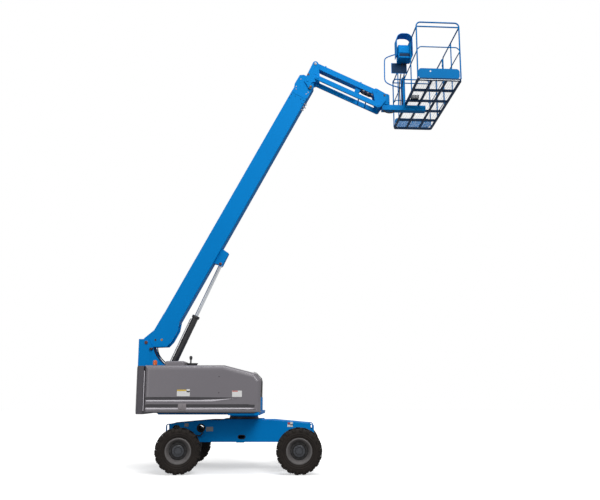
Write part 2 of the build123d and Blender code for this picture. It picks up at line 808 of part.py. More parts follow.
lift_eye_half = 34.0
with BuildPart() as lift_rod_piece:
    with BuildSketch(lift_cross.offset(lift_length - lift_barrel_length + 170)):
        Circle(lift_rod)
    extrude(amount=lift_barrel_length - 170 - lift_eye_radius + 12)
    with BuildSketch(Plane(origin=(lift_eye[0], 0, lift_eye[1]), x_dir=lift_side.x_dir, z_dir=(0, -1, 0))):
        Circle(lift_eye_radius)
        Circle(lift_pin, mode=Mode.SUBTRACT)
    extrude(amount=lift_eye_half, both=True)
save(lift_rod_piece.part, "lift_cylinder_rod")

# Jib: the bellcrank on the boom's head, the arm and the ladder-shaped link
jib_dir = (cos(radians(jib_angle)), 0, sin(radians(jib_angle)))
jib_up = (-sin(radians(jib_angle)), 0, cos(radians(jib_angle)))


def jib_point(start, along, up):
    """A point (x, z) measured along and across the jib from a pivot."""
    return (
        start[0] + along * jib_dir[0] + up * jib_up[0],
        start[1] + along * jib_dir[2] + up * jib_up[2],
    )


def jib_plane(start):
    """The plane seen from the right side with its x along the jib."""
    return Plane(origin=(start[0], 0, start[1]), x_dir=jib_dir, z_dir=(0, -1, 0))


head_at = (boom_point(*head_pivot)[0], boom_point(*head_pivot)[2])
jib_low_pivot = (jib_top_pivot[0] + jib_low_offset[0], jib_top_pivot[1] + jib_low_offset[1])
arm_end = jib_point(jib_top_pivot, jib_length, 0)
link_end = jib_point(jib_low_pivot, jib_length, 0)
jib_eye_at = jib_point(jib_top_pivot, *jib_cyl_eye)

with BuildPart() as bellcrank:
    with BuildSketch(Plane.XZ.offset(plate_y)):
        for corner, radius in [(head_at, 78), (jib_top_pivot, 70), (jib_low_pivot, 58)]:
            with Locations(corner):
                Circle(radius)
        make_hull()
    extrude(amount=plate_wall)
    with BuildSketch(Plane.XZ.offset(plate_y)):
        for corner, radius in [(head_at, 70), ((from_middle(1525), 8825), 38)]:
            with Locations(corner):
                Circle(radius)
        make_hull()
    extrude(amount=plate_wall)
    with BuildSketch(Plane.XZ.offset(plate_y)):
        with Locations(jib_low_pivot):
            Circle(jib_pin)
    extrude(amount=link_y + link_wall + 10 - plate_y)
    mirror(about=Plane.XZ)
    bars = [  # centre, radius, half length
        (head_at, jib_pin, plate_y + plate_wall + 10),
        (jib_top_pivot, jib_pin, plate_y + plate_wall + 10),
        (jib_cyl_base, jib_pin - 5, plate_y + plate_wall + 6),
        ((from_middle(1525), 9295), 28, plate_y),
    ]
    for centre, radius, half in bars:
        with BuildSketch(Plane.XZ):
            with Locations(centre):
                Circle(radius)
        extrude(amount=half, both=True)
save(bellcrank.part, "bellcrank")

with BuildPart() as jib_arm:
    with BuildSketch(jib_plane(jib_top_pivot)):
        with Locations((jib_length / 2, 0)):
            SlotCenterToCenter(jib_length, arm_depth)
    extrude(amount=arm_width / 2, both=True)
    with BuildSketch(jib_plane(jib_top_pivot)):
        with Locations((jib_length / 2, 0)):
            Rectangle(jib_length - 180, arm_depth - 2 * arm_wall)
    extrude(amount=arm_width / 2 - arm_wall, both=True, mode=Mode.SUBTRACT)
    with BuildSketch(jib_plane(jib_top_pivot).offset(32)):
        with BuildLine():
            Polyline(
                (jib_cyl_eye[0] - 70, -arm_depth / 2 + 2), (jib_cyl_eye[0] + 70, -arm_depth / 2 + 2),
                (jib_cyl_eye[0] + 36, jib_cyl_eye[1] - 20), (jib_cyl_eye[0] - 36, jib_cyl_eye[1] - 20),
                close=True,
            )
        make_face()
        with Locations(jib_cyl_eye):
            Circle(34)
    extrude(amount=16)
    with BuildSketch(jib_plane(jib_top_pivot).offset(32)):
        with Locations(jib_cyl_eye):
            Circle(14)
    extrude(amount=26)
    mirror(about=Plane.XZ)
    with BuildSketch(jib_plane(jib_top_pivot)):
        with Locations((0, 0), (jib_length, 0)):
            Circle(jib_pin + pin_gap)
    extrude(amount=arm_width, both=True, mode=Mode.SUBTRACT)
save(jib_arm.part, "jib_arm")

with BuildPart() as jib_link:
    with BuildSketch(jib_plane(jib_low_pivot).offset(link_y)):
        with Locations((jib_length / 2, 0)):
            SlotCenterToCenter(jib_length, link_depth)
    extrude(amount=link_wall)
    mirror(about=Plane.XZ)
    with BuildSketch(jib_plane(jib_low_pivot)):
        with Locations((link_rod_near, link_rod_drop), (link_rod_far, link_rod_drop)):
            Circle(link_rod)
    extrude(amount=link_y, both=True)
    with BuildSketch(jib_plane(jib_low_pivot)):
        with Locations((0, 0), (jib_length, 0)):
            Circle(jib_pin + pin_gap)
    extrude(amount=link_y + link_wall, both=True, mode=Mode.SUBTRACT)
save(jib_link.part, "jib_link")

jib_cyl_length = hypot(jib_eye_at[0] - jib_cyl_base[0], jib_eye_at[1] - jib_cyl_base[1])
jib_cyl_side = side_frame(jib_cyl_base, jib_eye_at)
jib_cyl_cross = Plane(origin=jib_cyl_side.origin, x_dir=(0, 1, 0), z_dir=jib_cyl_side.x_dir)
jib_eye_radius = 26.0

with BuildPart() as jib_barrel_piece:
    with BuildSketch(jib_cyl_side):
        Circle(34)
    extrude(amount=44, both=True)
    with BuildSketch(jib_cyl_cross):
        Circle(jib_barrel)
    extrude(amount=jib_barrel_length)
    with BuildSketch(jib_cyl_cross.offset(90)):
        Circle(jib_rod + pin_gap)
    extrude(amount=jib_barrel_length - 90, mode=Mode.SUBTRACT)
    with BuildSketch(jib_cyl_side):
        Circle(jib_pin - 5 + pin_gap)
    extrude(amount=60, both=True, mode=Mode.SUBTRACT)
save(jib_barrel_piece.part, "jib_cylinder_barrel")

with BuildPart() as jib_rod_piece:
    with BuildSketch(jib_cyl_cross.offset(jib_cyl_length - jib_barrel_length + 100)):
        Circle(jib_rod)
    extrude(amount=jib_barrel_length - 100 - jib_eye_radius + 8)
    with BuildSketch(Plane(origin=(jib_eye_at[0], 0, jib_eye_at[1]), x_dir=jib_dir, z_dir=(0, -1, 0))):
        Circle(jib_eye_radius)
        Circle(14, mode=Mode.SUBTRACT)
    extrude(amount=25, both=True)
save(jib_rod_piece.part, "jib_cylinder_rod")

# Platform support: plates on the far ends of the jib, and the rotator's body
with BuildPart() as platform_support:
    with BuildSketch(Plane.XZ.offset(plate_y)):
        corners = [(arm_end, 70), (link_end, 56), ((rotator_x - 40, 8655), 40), ((rotator_x - 40, 8545), 40)]
        for corner, radius in corners:
            with Locations(corner):
                Circle(radius)
        make_hull()
    extrude(amount=plate_wall)
    mirror(about=Plane.XZ)
    for centre, half in [(arm_end, plate_y + plate_wall + 10), (link_end, link_y + link_wall + 10)]:
        with BuildSketch(Plane.XZ):
            with Locations(centre):
                Circle(jib_pin)
        extrude(amount=half, both=True)
    with BuildSketch(Plane.XY.offset(rotator_bottom)):
        with Locations((rotator_x, 0)):
            Circle(rotator_radius)
        with Locations((rotator_x - 85, 0)):
            Rectangle(110, 2 * plate_y)
    extrude(amount=rotator_top - rotator_bottom)
    with BuildSketch(Plane.XY.offset(rotator_bottom)):
        with Locations((rotator_x, 0)):
            Circle(40 + pin_gap)
    extrude(amount=rotator_top - rotator_bottom, mode=Mode.SUBTRACT)
save(platform_support.part, "platform_support")

# Platform, all in the frame of its deck, which turns round the rotator's axis
deck = Plane(origin=(rotator_x, 0, 0), x_dir=(cos(radians(platform_yaw)), sin(radians(platform_yaw)), 0),
             z_dir=(0, 0, 1))
floor_top = floor_bottom + floor_height
platform_mid = platform_rear + platform_width / 2
rear_x = platform_rear + tube
front_x = platform_rear + platform_width - tube
end_y = platform_length / 2 - tube
kick_wall = 4.0

with BuildPart() as platform_mount:
    with BuildSketch(deck.offset(floor_bottom - beam_height)):
        with Locations((425, 0)):
            Rectangle(1050, 2 * beam_half)
    extrude(amount=beam_height)
    with BuildSketch(deck.offset(floor_bottom)):
        Circle(rotator_radius)
    extrude(amount=rotator_bottom - side_gap - floor_bottom)
    with BuildSketch(deck.offset(floor_bottom)):
        Circle(40)
    extrude(amount=rotator_top + 6 - floor_bottom)
    with BuildSketch(deck.offset(rotator_top + 6)):
        Circle(70)
    extrude(amount=16)
    with BuildSketch(deck.offset(floor_bottom)):
        with Locations((platform_rear - 30, -48), (platform_rear - 30, 48)):
            Rectangle(60, 50)
    extrude(amount=rail_mid - 60 - floor_bottom)
save(platform_mount.part, "platform_mount")

with BuildPart() as platform_frame:
    with BuildSketch(deck.offset(floor_bottom)):
        with Locations((platform_mid, 0)):
            RectangleRounded(platform_width, platform_length, 60)
            RectangleRounded(platform_width - 90, platform_length - 90, 20, mode=Mode.SUBTRACT)
            with GridLocations(platform_width / 3, 0, 2, 1):
                Rectangle(40, platform_length - 60)
            with GridLocations(0, platform_length / 5, 1, 4):
                Rectangle(platform_width - 60, 40)
    extrude(amount=floor_height)
save(platform_frame.part, "platform_frame")

with BuildPart() as platform_mesh:
    with BuildSketch(deck.offset(floor_top)):
        with Locations((platform_mid, 0)):
            RectangleRounded(platform_width - 70, 2 * (end_y - tube - kick_wall - side_gap), 30)
            with GridLocations(112, 108, 8, 24):
                Rectangle(92, 88, mode=Mode.SUBTRACT)
    extrude(amount=4)
save(platform_mesh.part, "platform_mesh")


def rail(points, bend, radius):
    """A tube along points of the deck's frame, its corners bent."""
    with BuildPart(mode=Mode.PRIVATE) as piece:
        with BuildLine(deck) as path:
            FilletPolyline(*points, radius=bend)
        with BuildSketch(Plane(origin=path.line @ 0, z_dir=path.line % 0)):
            Circle(radius)
        sweep(path=path.line)
    return piece.part


def bar(start, end, radius):
    """A straight tube between two points of the deck's frame."""
    with BuildPart(mode=Mode.PRIVATE) as piece:
        with BuildLine(deck) as path:
            Line(start, end)
        with BuildSketch(Plane(origin=path.line @ 0, z_dir=path.line % 0)):
            Circle(radius)
        extrude(amount=path.line.edge().length)
    return piece.part


low_bar = rail_top - rail_low_bar
mid_bar = rail_mid - 60
gate_near = 0.0
gate_far = 660.0
hinge_y = gate_near + 2 * tube + side_gap
post_tube = 14.0          # each tube is thinner than the one that it is welded to
bar_tube = 15.0
mid_tube = 12.0
hoop_bend = 95.0
corner_bend = 60.0
mid_rise = 70.0           # how far the end's middle bar rises in from its posts

inner_end = end_y - tube - seat_gap      # where a long bar meets the end rail's post

for name, y in [("end_rail_right", -end_y), ("end_rail_left", end_y)]:
    with BuildPart() as end_rail:
        add(rail([(rear_x, y, floor_top), (rear_x, y, rail_top - tube), (front_x, y, rail_top - tube),
                  (front_x, y, floor_top)], hoop_bend, tube))
        add(rail([(rear_x, y, mid_bar + 20), (rear_x + mid_rise, y, mid_bar + mid_rise + 20),
                  (front_x - mid_rise, y, mid_bar + mid_rise + 20), (front_x, y, mid_bar + 20)],
                 mid_rise, mid_tube))
        add(bar((rear_x, y, low_bar), (front_x, y, low_bar), bar_tube))
    save(end_rail.part, name)

with BuildPart() as rear_rails:
    add(bar((rear_x, -inner_end, low_bar), (rear_x, inner_end, low_bar), bar_tube))
    add(bar((rear_x, -inner_end, mid_bar), (rear_x, inner_end, mid_bar), mid_tube))
    for y in (-700, 0, 700):
        add(bar((rear_x, y, floor_top), (rear_x, y, low_bar), post_tube))
save(rear_rails.part, "rear_rails")

with BuildPart() as front_rail_right:
    add(rail([(front_x, -inner_end, low_bar), (front_x, gate_near, low_bar), (front_x, gate_near, floor_top)],
             corner_bend, bar_tube))
    add(bar((front_x, -inner_end, mid_bar), (front_x, gate_near, mid_bar), mid_tube))
    add(bar((front_x, -660, floor_top), (front_x, -660, low_bar), post_tube))
    for z in (floor_top + 250, low_bar - 200):
        with BuildSketch(deck.offset(z)):
            with Locations((front_x, hinge_y)):
                Circle(tube + 8)
            with Locations((front_x, gate_near + hinge_y / 2)):
                Rectangle(16, hinge_y)
            with Locations((front_x, hinge_y)):
                Circle(tube + pin_gap, mode=Mode.SUBTRACT)
        extrude(amount=30)
save(front_rail_right.part, "front_rail_right")

with BuildPart() as front_rail_left:
    add(rail([(front_x, inner_end, low_bar), (front_x, gate_far, low_bar), (front_x, gate_far, floor_top)],
             corner_bend, bar_tube))
    add(bar((front_x, inner_end, mid_bar), (front_x, gate_far, mid_bar), mid_tube))
save(front_rail_left.part, "front_rail_left")

with BuildPart() as platform_gate:
    far_y = gate_far - 2 * tube - side_gap
    add(rail([(front_x, hinge_y, floor_top + 60), (front_x, hinge_y, low_bar), (front_x, far_y, low_bar),
              (front_x, far_y, floor_top + 60)], corner_bend, tube))
    for z in (floor_top + 100, mid_bar):
        add(bar((front_x, hinge_y, z), (front_x, far_y, z), mid_tube))
save(platform_gate.part, "platform_gate")

kick_low = floor_top + 4 + seat_gap
kick_height = 240.0

for side, name in [(-1, "kick_plate_right"), (1, "kick_plate_left")]:
    with BuildPart() as kick_plate:
        with BuildSketch(Plane(origin=deck.from_local_coords((0, side * (end_y - tube), 0)),
                               x_dir=deck.x_dir, z_dir=deck.y_dir)):
            with BuildLine():
                Polyline((rear_x + 20, -kick_low), (front_x - 20, -kick_low),
                         (front_x - 20, -kick_low - kick_height), (rear_x + 20, -kick_low - kick_height), close=True)
            make_face()
            fillet(vertices().group_by(Axis.Z)[-1], 70)
        extrude(amount=-side * kick_wall)
    save(kick_plate.part, name)

guard_width = 380.0
guard_height = 700.0
guard_bend = 150.0
guard_wall = 10.0
guard_top = 9966.0
guard_mid = 355.0

with BuildPart() as control_console:
    with BuildSketch(deck.offset(9323)):
        with Locations((355, -520)):
            RectangleRounded(310, 240, 20)
    extrude(amount=9661 - 9323)
    with BuildSketch(deck.offset(9063)):
        with Locations((255, -416)):
            Rectangle(370, 8)
    extrude(amount=9323 - 9063)
    with BuildSketch(deck.offset(9500)):
        with Locations((guard_mid, -520)):
            Rectangle(guard_width - 2 * guard_wall - 2 * seat_gap, 60)
    extrude(amount=60)
    with BuildSketch(deck.offset(9661)):
        with Locations((rear_x, -450), (rear_x, -590)):
            Rectangle(24, 24)
    extrude(amount=low_bar - bar_tube - seat_gap - 9661)
save(control_console.part, "control_console")

with BuildPart() as console_guard:
    with BuildSketch(Plane(origin=deck.from_local_coords((0, -400, 0)), x_dir=deck.x_dir,
                           z_dir=tuple(-c for c in deck.y_dir))):
        with Locations((guard_mid, guard_top - guard_height / 2)):
            RectangleRounded(guard_width, guard_height, guard_bend)
            RectangleRounded(guard_width - 2 * guard_wall, guard_height - 2 * guard_wall, guard_bend - guard_wall,
                             mode=Mode.SUBTRACT)
        with Locations((guard_mid, guard_top - guard_height)):
            Rectangle(guard_width, 2 * guard_bend, mode=Mode.SUBTRACT)
    extrude(amount=240)
save(console_guard.part, "console_guard")
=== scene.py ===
# %% [markdown]
# # A telescopic boom lift, dressed in Blender
# The machine comes packed from its CAD source: every solid is already in metres, in one frame,
# and hangs on the body that it moves with. This lesson adds what paint, rubber, moulded plastic
# and small fittings look like, and leaves the construction where it is. Z is up, the boom reaches
# towards +X, and the near side of the machine is at -Y.

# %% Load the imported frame
import math

import bpy
from mathutils import Matrix, Vector


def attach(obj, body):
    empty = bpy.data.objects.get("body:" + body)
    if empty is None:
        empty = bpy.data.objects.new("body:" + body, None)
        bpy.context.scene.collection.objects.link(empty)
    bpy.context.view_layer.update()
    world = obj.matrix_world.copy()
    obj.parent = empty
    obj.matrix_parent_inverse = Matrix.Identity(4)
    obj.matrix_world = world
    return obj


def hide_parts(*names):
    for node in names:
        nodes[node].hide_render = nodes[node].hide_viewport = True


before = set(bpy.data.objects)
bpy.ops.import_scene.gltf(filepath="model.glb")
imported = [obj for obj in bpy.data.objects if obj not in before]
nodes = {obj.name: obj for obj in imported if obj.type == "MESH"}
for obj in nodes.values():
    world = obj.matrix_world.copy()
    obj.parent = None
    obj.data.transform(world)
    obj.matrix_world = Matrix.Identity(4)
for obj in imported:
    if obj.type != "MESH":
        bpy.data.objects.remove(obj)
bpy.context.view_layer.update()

# %% [markdown]
# The machine is easier to think about from the middle of its wheelbase, because every distance
# read off the photograph started there. The helpers below turn such a place into the frame, and
# a place along the boom or the jib into the frame too.

# %% Places on the machine
MIDDLE = -1.228
BOOM_ANGLE = math.radians(61.9)
JIB_ANGLE = math.radians(-26.0)
PLATFORM_YAW = math.radians(3.2)
boom_pivot = Vector((MIDDLE - 2.152, 0, 2.743))
jib_pivot = Vector((MIDDLE + 1.645, 0, 9.449))
rotator = Vector((MIDDLE + 3.330, 0, 0))


def on_machine(x, y, z):
    """A place measured from the middle of the wheelbase."""
    return Vector((MIDDLE + x, y, z))


def tilted(origin, angle, along, side, up):
    """A place measured along and across a tilted member that starts at origin."""
    return origin + Vector((along * math.cos(angle) - up * math.sin(angle), side,
                            along * math.sin(angle) + up * math.cos(angle)))


def on_boom(along, side, up):
    """A place along the boom, measured from its pivot."""
    return tilted(boom_pivot, BOOM_ANGLE, along, side, up)


def on_jib(along, side, up):
    """A place along the jib's arm, measured from its upper pin."""
    return tilted(jib_pivot, JIB_ANGLE, along, side, up)


def on_deck(x, y, z):
    """A place on the platform, which is turned a little about the rotator."""
    return rotator + Matrix.Rotation(PLATFORM_YAW, 3, "Z") @ Vector((x, y, z))


print("boom pivot:", tuple(round(c, 3) for c in boom_pivot))

# %% [markdown]
# Paint on a working machine is never one even colour. Two effects return in nearly every finish
# here: a slow mottling, as from weather and dust, and a fine grain that breaks up highlights. Each
# is a node group with named inputs, so that every material can ask for its own amount.


# %% Shared effects as node groups
def new_group(name, inputs, outputs):
    """An empty shader group with the named sockets."""
    group = bpy.data.node_groups.new(name, "ShaderNodeTree")
    for socket, kind, value in inputs:
        made = group.interface.new_socket(socket, in_out="INPUT", socket_type=kind)
        made.default_value = value
    for socket, kind in outputs:
        group.interface.new_socket(socket, in_out="OUTPUT", socket_type=kind)
    return group, group.nodes.new("NodeGroupInput"), group.nodes.new("NodeGroupOutput")


def node_in(tree, kind, values=None, **settings):
    """A new shader node with its properties and the values of its inputs."""
    node = tree.nodes.new("ShaderNode" + kind)
    for name, value in settings.items():
        setattr(node, name, value)
    for socket, value in (values or {}).items():
        node.inputs[socket].default_value = value
    return node


def wire_up(tree, *pairs):
    """Link each output to its input."""
    for start, end in pairs:
        tree.links.new(start, end)


weather, w_in, w_out = new_group(
    "Weathered tone",
    [("Colour", "NodeSocketColor", (0.5, 0.5, 0.5, 1)), ("Dust", "NodeSocketColor", (0.4, 0.36, 0.3, 1)),
     ("Scale", "NodeSocketFloat", 1.2), ("Amount", "NodeSocketFloat", 0.1)],
    [("Colour", "NodeSocketColor"), ("Mask", "NodeSocketFloat")])
place = node_in(weather, "TexCoord")
slow = node_in(weather, "TexNoise", {"Detail": 6, "Roughness": 0.62})
spread = node_in(weather, "MapRange", {"From Min": 0.35, "From Max": 0.75})
strength = node_in(weather, "Math", operation="MULTIPLY")
blend_tone = node_in(weather, "Mix", data_type="RGBA")
wire_up(weather,
        (place.outputs["Object"], slow.inputs["Vector"]),
        (w_in.outputs["Scale"], slow.inputs["Scale"]),
        (slow.outputs["Fac"], spread.inputs["Value"]),
        (spread.outputs["Result"], strength.inputs[0]),
        (w_in.outputs["Amount"], strength.inputs[1]),
        (strength.outputs[0], blend_tone.inputs["Factor"]),
        (w_in.outputs["Colour"], blend_tone.inputs[6]),  # its colour sockets A and B
        (w_in.outputs["Dust"], blend_tone.inputs[7]),
        (blend_tone.outputs[2], w_out.inputs["Colour"]),
        (strength.outputs[0], w_out.inputs["Mask"]))

grain, g_in, g_out = new_group(
    "Surface grain",
    [("Scale", "NodeSocketFloat", 220.0), ("Depth", "NodeSocketFloat", 0.1),
     ("Low", "NodeSocketFloat", 0.3), ("High", "NodeSocketFloat", 0.5)],
    [("Normal", "NodeSocketVector"), ("Roughness", "NodeSocketFloat")])
spot = node_in(grain, "TexCoord")
fine = node_in(grain, "TexNoise", {"Detail": 3})
bump = node_in(grain, "Bump", {"Distance": 0.002})
sheen = node_in(grain, "MapRange")
wire_up(grain,
        (spot.outputs["Object"], fine.inputs["Vector"]),
        (g_in.outputs["Scale"], fine.inputs["Scale"]),
        (fine.outputs["Fac"], bump.inputs["Height"]),
        (g_in.outputs["Depth"], bump.inputs["Strength"]),
        (fine.outputs["Fac"], sheen.inputs["Value"]),
        (g_in.outputs["Low"], sheen.inputs["To Min"]),
        (g_in.outputs["High"], sheen.inputs["To Max"]),
        (bump.outputs["Normal"], g_out.inputs["Normal"]),
        (sheen.outputs["Result"], g_out.inputs["Roughness"]))
print("groups:", [g.name for g in bpy.data.node_groups])

# %% [markdown]
# One function makes a finish from the two effects. A colour is written as it is read off a
# picture, from 0 to 255, and is turned into the linear value that the shader works in.


def linear(red, green, blue):
    """A picture's colour as the shader wants it."""
    out = []
    for channel in (red, green, blue):
        c = channel / 255
        out.append(c / 12.92 if c <= 0.04045 else ((c + 0.055) / 1.055) ** 2.4)
    return (*out, 1)


def finish(name, colour, dust, tone, skin, metallic=0.0, coat=0.0, specular=0.5):
    """A material: weathered colour (scale, amount), grain (scale, depth, lowest and highest
    roughness) and plain shader settings. Pieces that wear it take its slot."""
    material = bpy.data.materials.new(name)
    material.use_nodes = True
    tree = material.node_tree
    shader = tree.nodes["Principled BSDF"]
    toned = node_in(tree, "Group", node_tree=weather)
    toned.inputs["Colour"].default_value = linear(*colour)
    toned.inputs["Dust"].default_value = linear(*dust)
    toned.inputs["Scale"].default_value, toned.inputs["Amount"].default_value = tone
    skinned = node_in(tree, "Group", dict(zip(("Scale", "Depth", "Low", "High"), skin)), node_tree=grain)
    shader.inputs["Metallic"].default_value = metallic
    shader.inputs["Coat Weight"].default_value = coat
    shader.inputs["Specular IOR Level"].default_value = specular
    wire_up(tree,
            (toned.outputs["Colour"], shader.inputs["Base Color"]),
            (skinned.outputs["Roughness"], shader.inputs["Roughness"]),
            (skinned.outputs["Normal"], shader.inputs["Normal"]))
    material.diffuse_color = linear(*colour)
    return material


blue_paint = finish("Blue machine paint",
    (0, 130, 208), (0, 112, 184), (0.8, 0.25), (160, 0.02, 0.45, 0.58), specular=0.05)
rail_paint = finish("Blue rail paint",
    (0, 112, 178), (0, 94, 152), (0.8, 0.25), (160, 0.02, 0.45, 0.58), specular=0.05)
deep_blue = finish("Blue paint in shade",
    (0, 72, 122), (4, 54, 96), (1.4, 0.4), (160, 0.06, 0.44, 0.6), specular=0.12)
# Painted shade: the blue paint darkened to navy, for recesses and undersides that fall in shade.
shade_navy_paint = finish("Blue paint with painted shade",
    (4, 48, 84), (6, 36, 62), (1.6, 0.4), (160, 0.06, 0.46, 0.6), specular=0.12)
grey_shell = finish("Grey moulded shell",
    (119, 115, 121), (132, 128, 134), (0.7, 0.25), (300, 0.06, 0.30, 0.42), coat=0.3)
groove_shade = finish("Shaded groove liner",
    (58, 56, 60), (68, 66, 70), (1.0, 0.3), (300, 0.08, 0.45, 0.6))
# Painted highlight: the cover's grey made light for the groove lips and the back edge, where light catches
# them.
shell_lip_highlight = finish("Moulded lip with painted highlight",
    (214, 210, 217), (176, 172, 178), (1.6, 0.25), (300, 0.05, 0.25, 0.36), coat=0.4)
latch_grey = finish("Pale latch",
    (140, 134, 138), (104, 99, 102), (7.0, 0.45), (260, 0.12, 0.3, 0.5))
black_steel = finish("Black hydraulic steel",
    (26, 27, 32), (58, 54, 50), (3.0, 0.3), (200, 0.12, 0.32, 0.55))
weight_paint = finish("Dark counterweight paint",
    (74, 72, 80), (98, 88, 86), (1.6, 0.35), (150, 0.1, 0.42, 0.6))
tyre_rubber = finish("Dusty tyre rubber",
    (27, 22, 19), (50, 42, 36), (5.0, 0.45), (90, 0.5, 0.70, 0.92), specular=0.35)
rim_paint = finish("Dark rim dish",
    (26, 25, 27), (42, 39, 38), (6.0, 0.4), (180, 0.1, 0.32, 0.5), coat=0.2)
# Painted highlight: the rim's grey made light on the lip, where the rim catches the light.
rim_highlight_grey = finish("Rim lip with painted highlight",
    (108, 105, 105), (78, 76, 76), (9.0, 0.45), (120, 0.06, 0.3, 0.45), specular=0.3)
hub_paint = finish("Blue grey hub",
    (58, 61, 67), (44, 46, 52), (8.0, 0.45), (200, 0.12, 0.32, 0.48), coat=0.2)
chrome_rod = finish("Chromed rod",
    (196, 200, 206), (150, 152, 158), (3.0, 0.2), (400, 0.0, 0.22, 0.30), metallic=1.0)
zinc_mesh = finish("Galvanised mesh",
    (206, 210, 214), (160, 165, 170), (7.0, 0.4), (240, 0.15, 0.4, 0.6), metallic=0.2)
zinc_pipe = finish("Grey plated pipe",
    (158, 160, 168), (128, 128, 130), (8.0, 0.35), (300, 0.0, 0.3, 0.42), metallic=0.3)
black_plastic = finish("Black moulded plastic",
    (24, 25, 29), (60, 60, 62), (4.0, 0.2), (420, 0.14, 0.4, 0.6))
hose_rubber = finish("Black hose rubber",
    (28, 26, 27), (66, 58, 50), (12.0, 0.35), (500, 0.3, 0.5, 0.75), specular=0.3)
seal_rubber = finish("Seal rubber",
    (18, 18, 20), (44, 42, 40), (9.0, 0.3), (420, 0.2, 0.55, 0.8), specular=0.3)
brass = finish("Plated brass fitting",
    (178, 132, 58), (120, 84, 40), (20.0, 0.4), (400, 0.05, 0.2, 0.34), metallic=0.8)
rust_pin = finish("Oiled brown pin",
    (92, 48, 38), (58, 36, 30), (20.0, 0.5), (300, 0.1, 0.35, 0.5), metallic=0.3)
amber_lens = finish("Amber lens",
    (226, 104, 22), (196, 76, 12), (20.0, 0.3), (300, 0.04, 0.12, 0.2), coat=0.6)
sign_white = finish("Blank white plate",
    (232, 232, 232), (210, 208, 206), (9.0, 0.3), (500, 0.04, 0.3, 0.45))
sign_grey = finish("Blank grey plate",
    (138, 140, 144), (112, 112, 114), (9.0, 0.4), (500, 0.04, 0.35, 0.5))
sign_yellow = finish("Yellow plate",
    (226, 190, 60), (190, 156, 50), (9.0, 0.3), (500, 0.04, 0.3, 0.45))
sign_red = finish("Red plate",
    (206, 78, 62), (170, 60, 50), (9.0, 0.3), (500, 0.04, 0.3, 0.45))
print("finishes:", len(bpy.data.materials))

# %% [markdown]
# The CAD solids keep their shapes and take a finish by assigning to their material slots. A table
# of finish to node names is easier to check than a line for each node.

# %% Finish the CAD solids
dressing = [
    (blue_paint, "chassis_frame turntable_base turret boom_base boom_mid boom_fly bellcrank jib_arm "
                 "jib_link platform_support platform_mount control_console console_guard"),
    (rail_paint, "end_rail_right end_rail_left rear_rails front_rail_right front_rail_left platform_gate "
                 "kick_plate_right kick_plate_left"),
    # The platform frame wears the navy painted shade of its undersides.
    (shade_navy_paint, "platform_frame"),
    (weight_paint, "counterweight"),
    (black_steel, "drive_axle steer_axle knuckle_right knuckle_left slew_ring steer_cylinder "
                  "steer_manifold lift_cylinder_barrel jib_cylinder_barrel engine "
                  "hydraulic_tank fuel_tank"),
    (grey_shell, "cover_right cover_left"),
    (tyre_rubber, "tyre_steer_right tyre_steer_left tyre_drive_right tyre_drive_left"),
    (rim_paint, "rim_steer_right rim_steer_left rim_drive_right rim_drive_left"),
    (chrome_rod, "lift_cylinder_rod jib_cylinder_rod"),
    (zinc_mesh, "platform_mesh"),
    (black_plastic, "intake_cap"),
    (amber_lens, "beacon"),
]
for material, names in dressing:
    for name in names.split():
        nodes[name].data.materials.clear()
        nodes[name].data.materials.append(material)
print("undressed:", set(nodes) - {name for _, names in dressing for name in names.split()})

# %% [markdown]
# ## Shaping new pieces
# Every added piece starts as a drawn outline. A slab is an outline pushed out to a thickness with
# its edges rounded, a turned piece is an outline spun round an axis, and a pipe follows a smooth
# line. A piece is shaped lying at the origin, and only then carried to its place by a matrix that
# says where its own X and Z point.


# %% Outline, slab, turned piece and pipe
def frame_at(origin, x_dir, z_dir):
    """The matrix that stands a piece at origin with its X and Z along two directions."""
    x_dir, z_dir = Vector(x_dir).normalized(), Vector(z_dir).normalized()
    turn = Matrix((x_dir, z_dir.cross(x_dir), z_dir)).transposed()
    return Matrix.Translation(origin) @ turn.to_4x4()


def near_side(x, y, z):
    """A place on the near side: X runs forward, Y up and Z out of the side."""
    return frame_at(on_machine(x, y, z), (1, 0, 0), (0, -1, 0))


def far_side(x, y, z):
    """The same on the far side, where X runs backward."""
    return frame_at(on_machine(x, y, z), (-1, 0, 0), (0, 1, 0))


def upright(x, y, z):
    """A place on the machine where a piece stands up."""
    return frame_at(on_machine(x, y, z), (1, 0, 0), (0, 0, 1))


def hanging(x, y, z):
    """A place on the machine where a piece hangs head down."""
    return frame_at(on_machine(x, y, z), (1, 0, 0), (0, 0, -1))


def pin_end(x, sign, out, z):
    """The end of a pin across the machine, on the side that sign gives."""
    return frame_at(on_machine(x, sign * out, z), (1, 0, 0), (0, sign, 0))


def on_member(origin, angle, along, side, up):
    """A place on a tilted member, X along it, on the side that the sign of side gives."""
    x_dir = (math.cos(angle), 0, math.sin(angle))
    return frame_at(tilted(origin, angle, along, side, up), x_dir, (0, -1 if side < 0 else 1, 0))


def drawn(name, points, edges, faces):
    """A new mesh from points, alone selected and in edit mode."""
    bpy.ops.object.select_all(action="DESELECT")
    mesh = bpy.data.meshes.new(name)
    mesh.from_pydata(points, edges, faces)
    piece = bpy.data.objects.new(name, mesh)
    bpy.context.collection.objects.link(piece)
    bpy.context.view_layer.objects.active = piece
    piece.select_set(True)
    bpy.ops.object.mode_set(mode="EDIT")
    bpy.ops.mesh.select_all(action="SELECT")
    return piece


def closed(angle=35):
    """Leave edit mode with the faces outward and only sharp edges kept sharp."""
    bpy.ops.mesh.select_all(action="SELECT")
    bpy.ops.mesh.remove_doubles(threshold=0.00002)
    bpy.ops.mesh.normals_make_consistent(inside=False)
    bpy.ops.object.mode_set(mode="OBJECT")
    bpy.ops.object.shade_smooth_by_angle(angle=math.radians(angle))


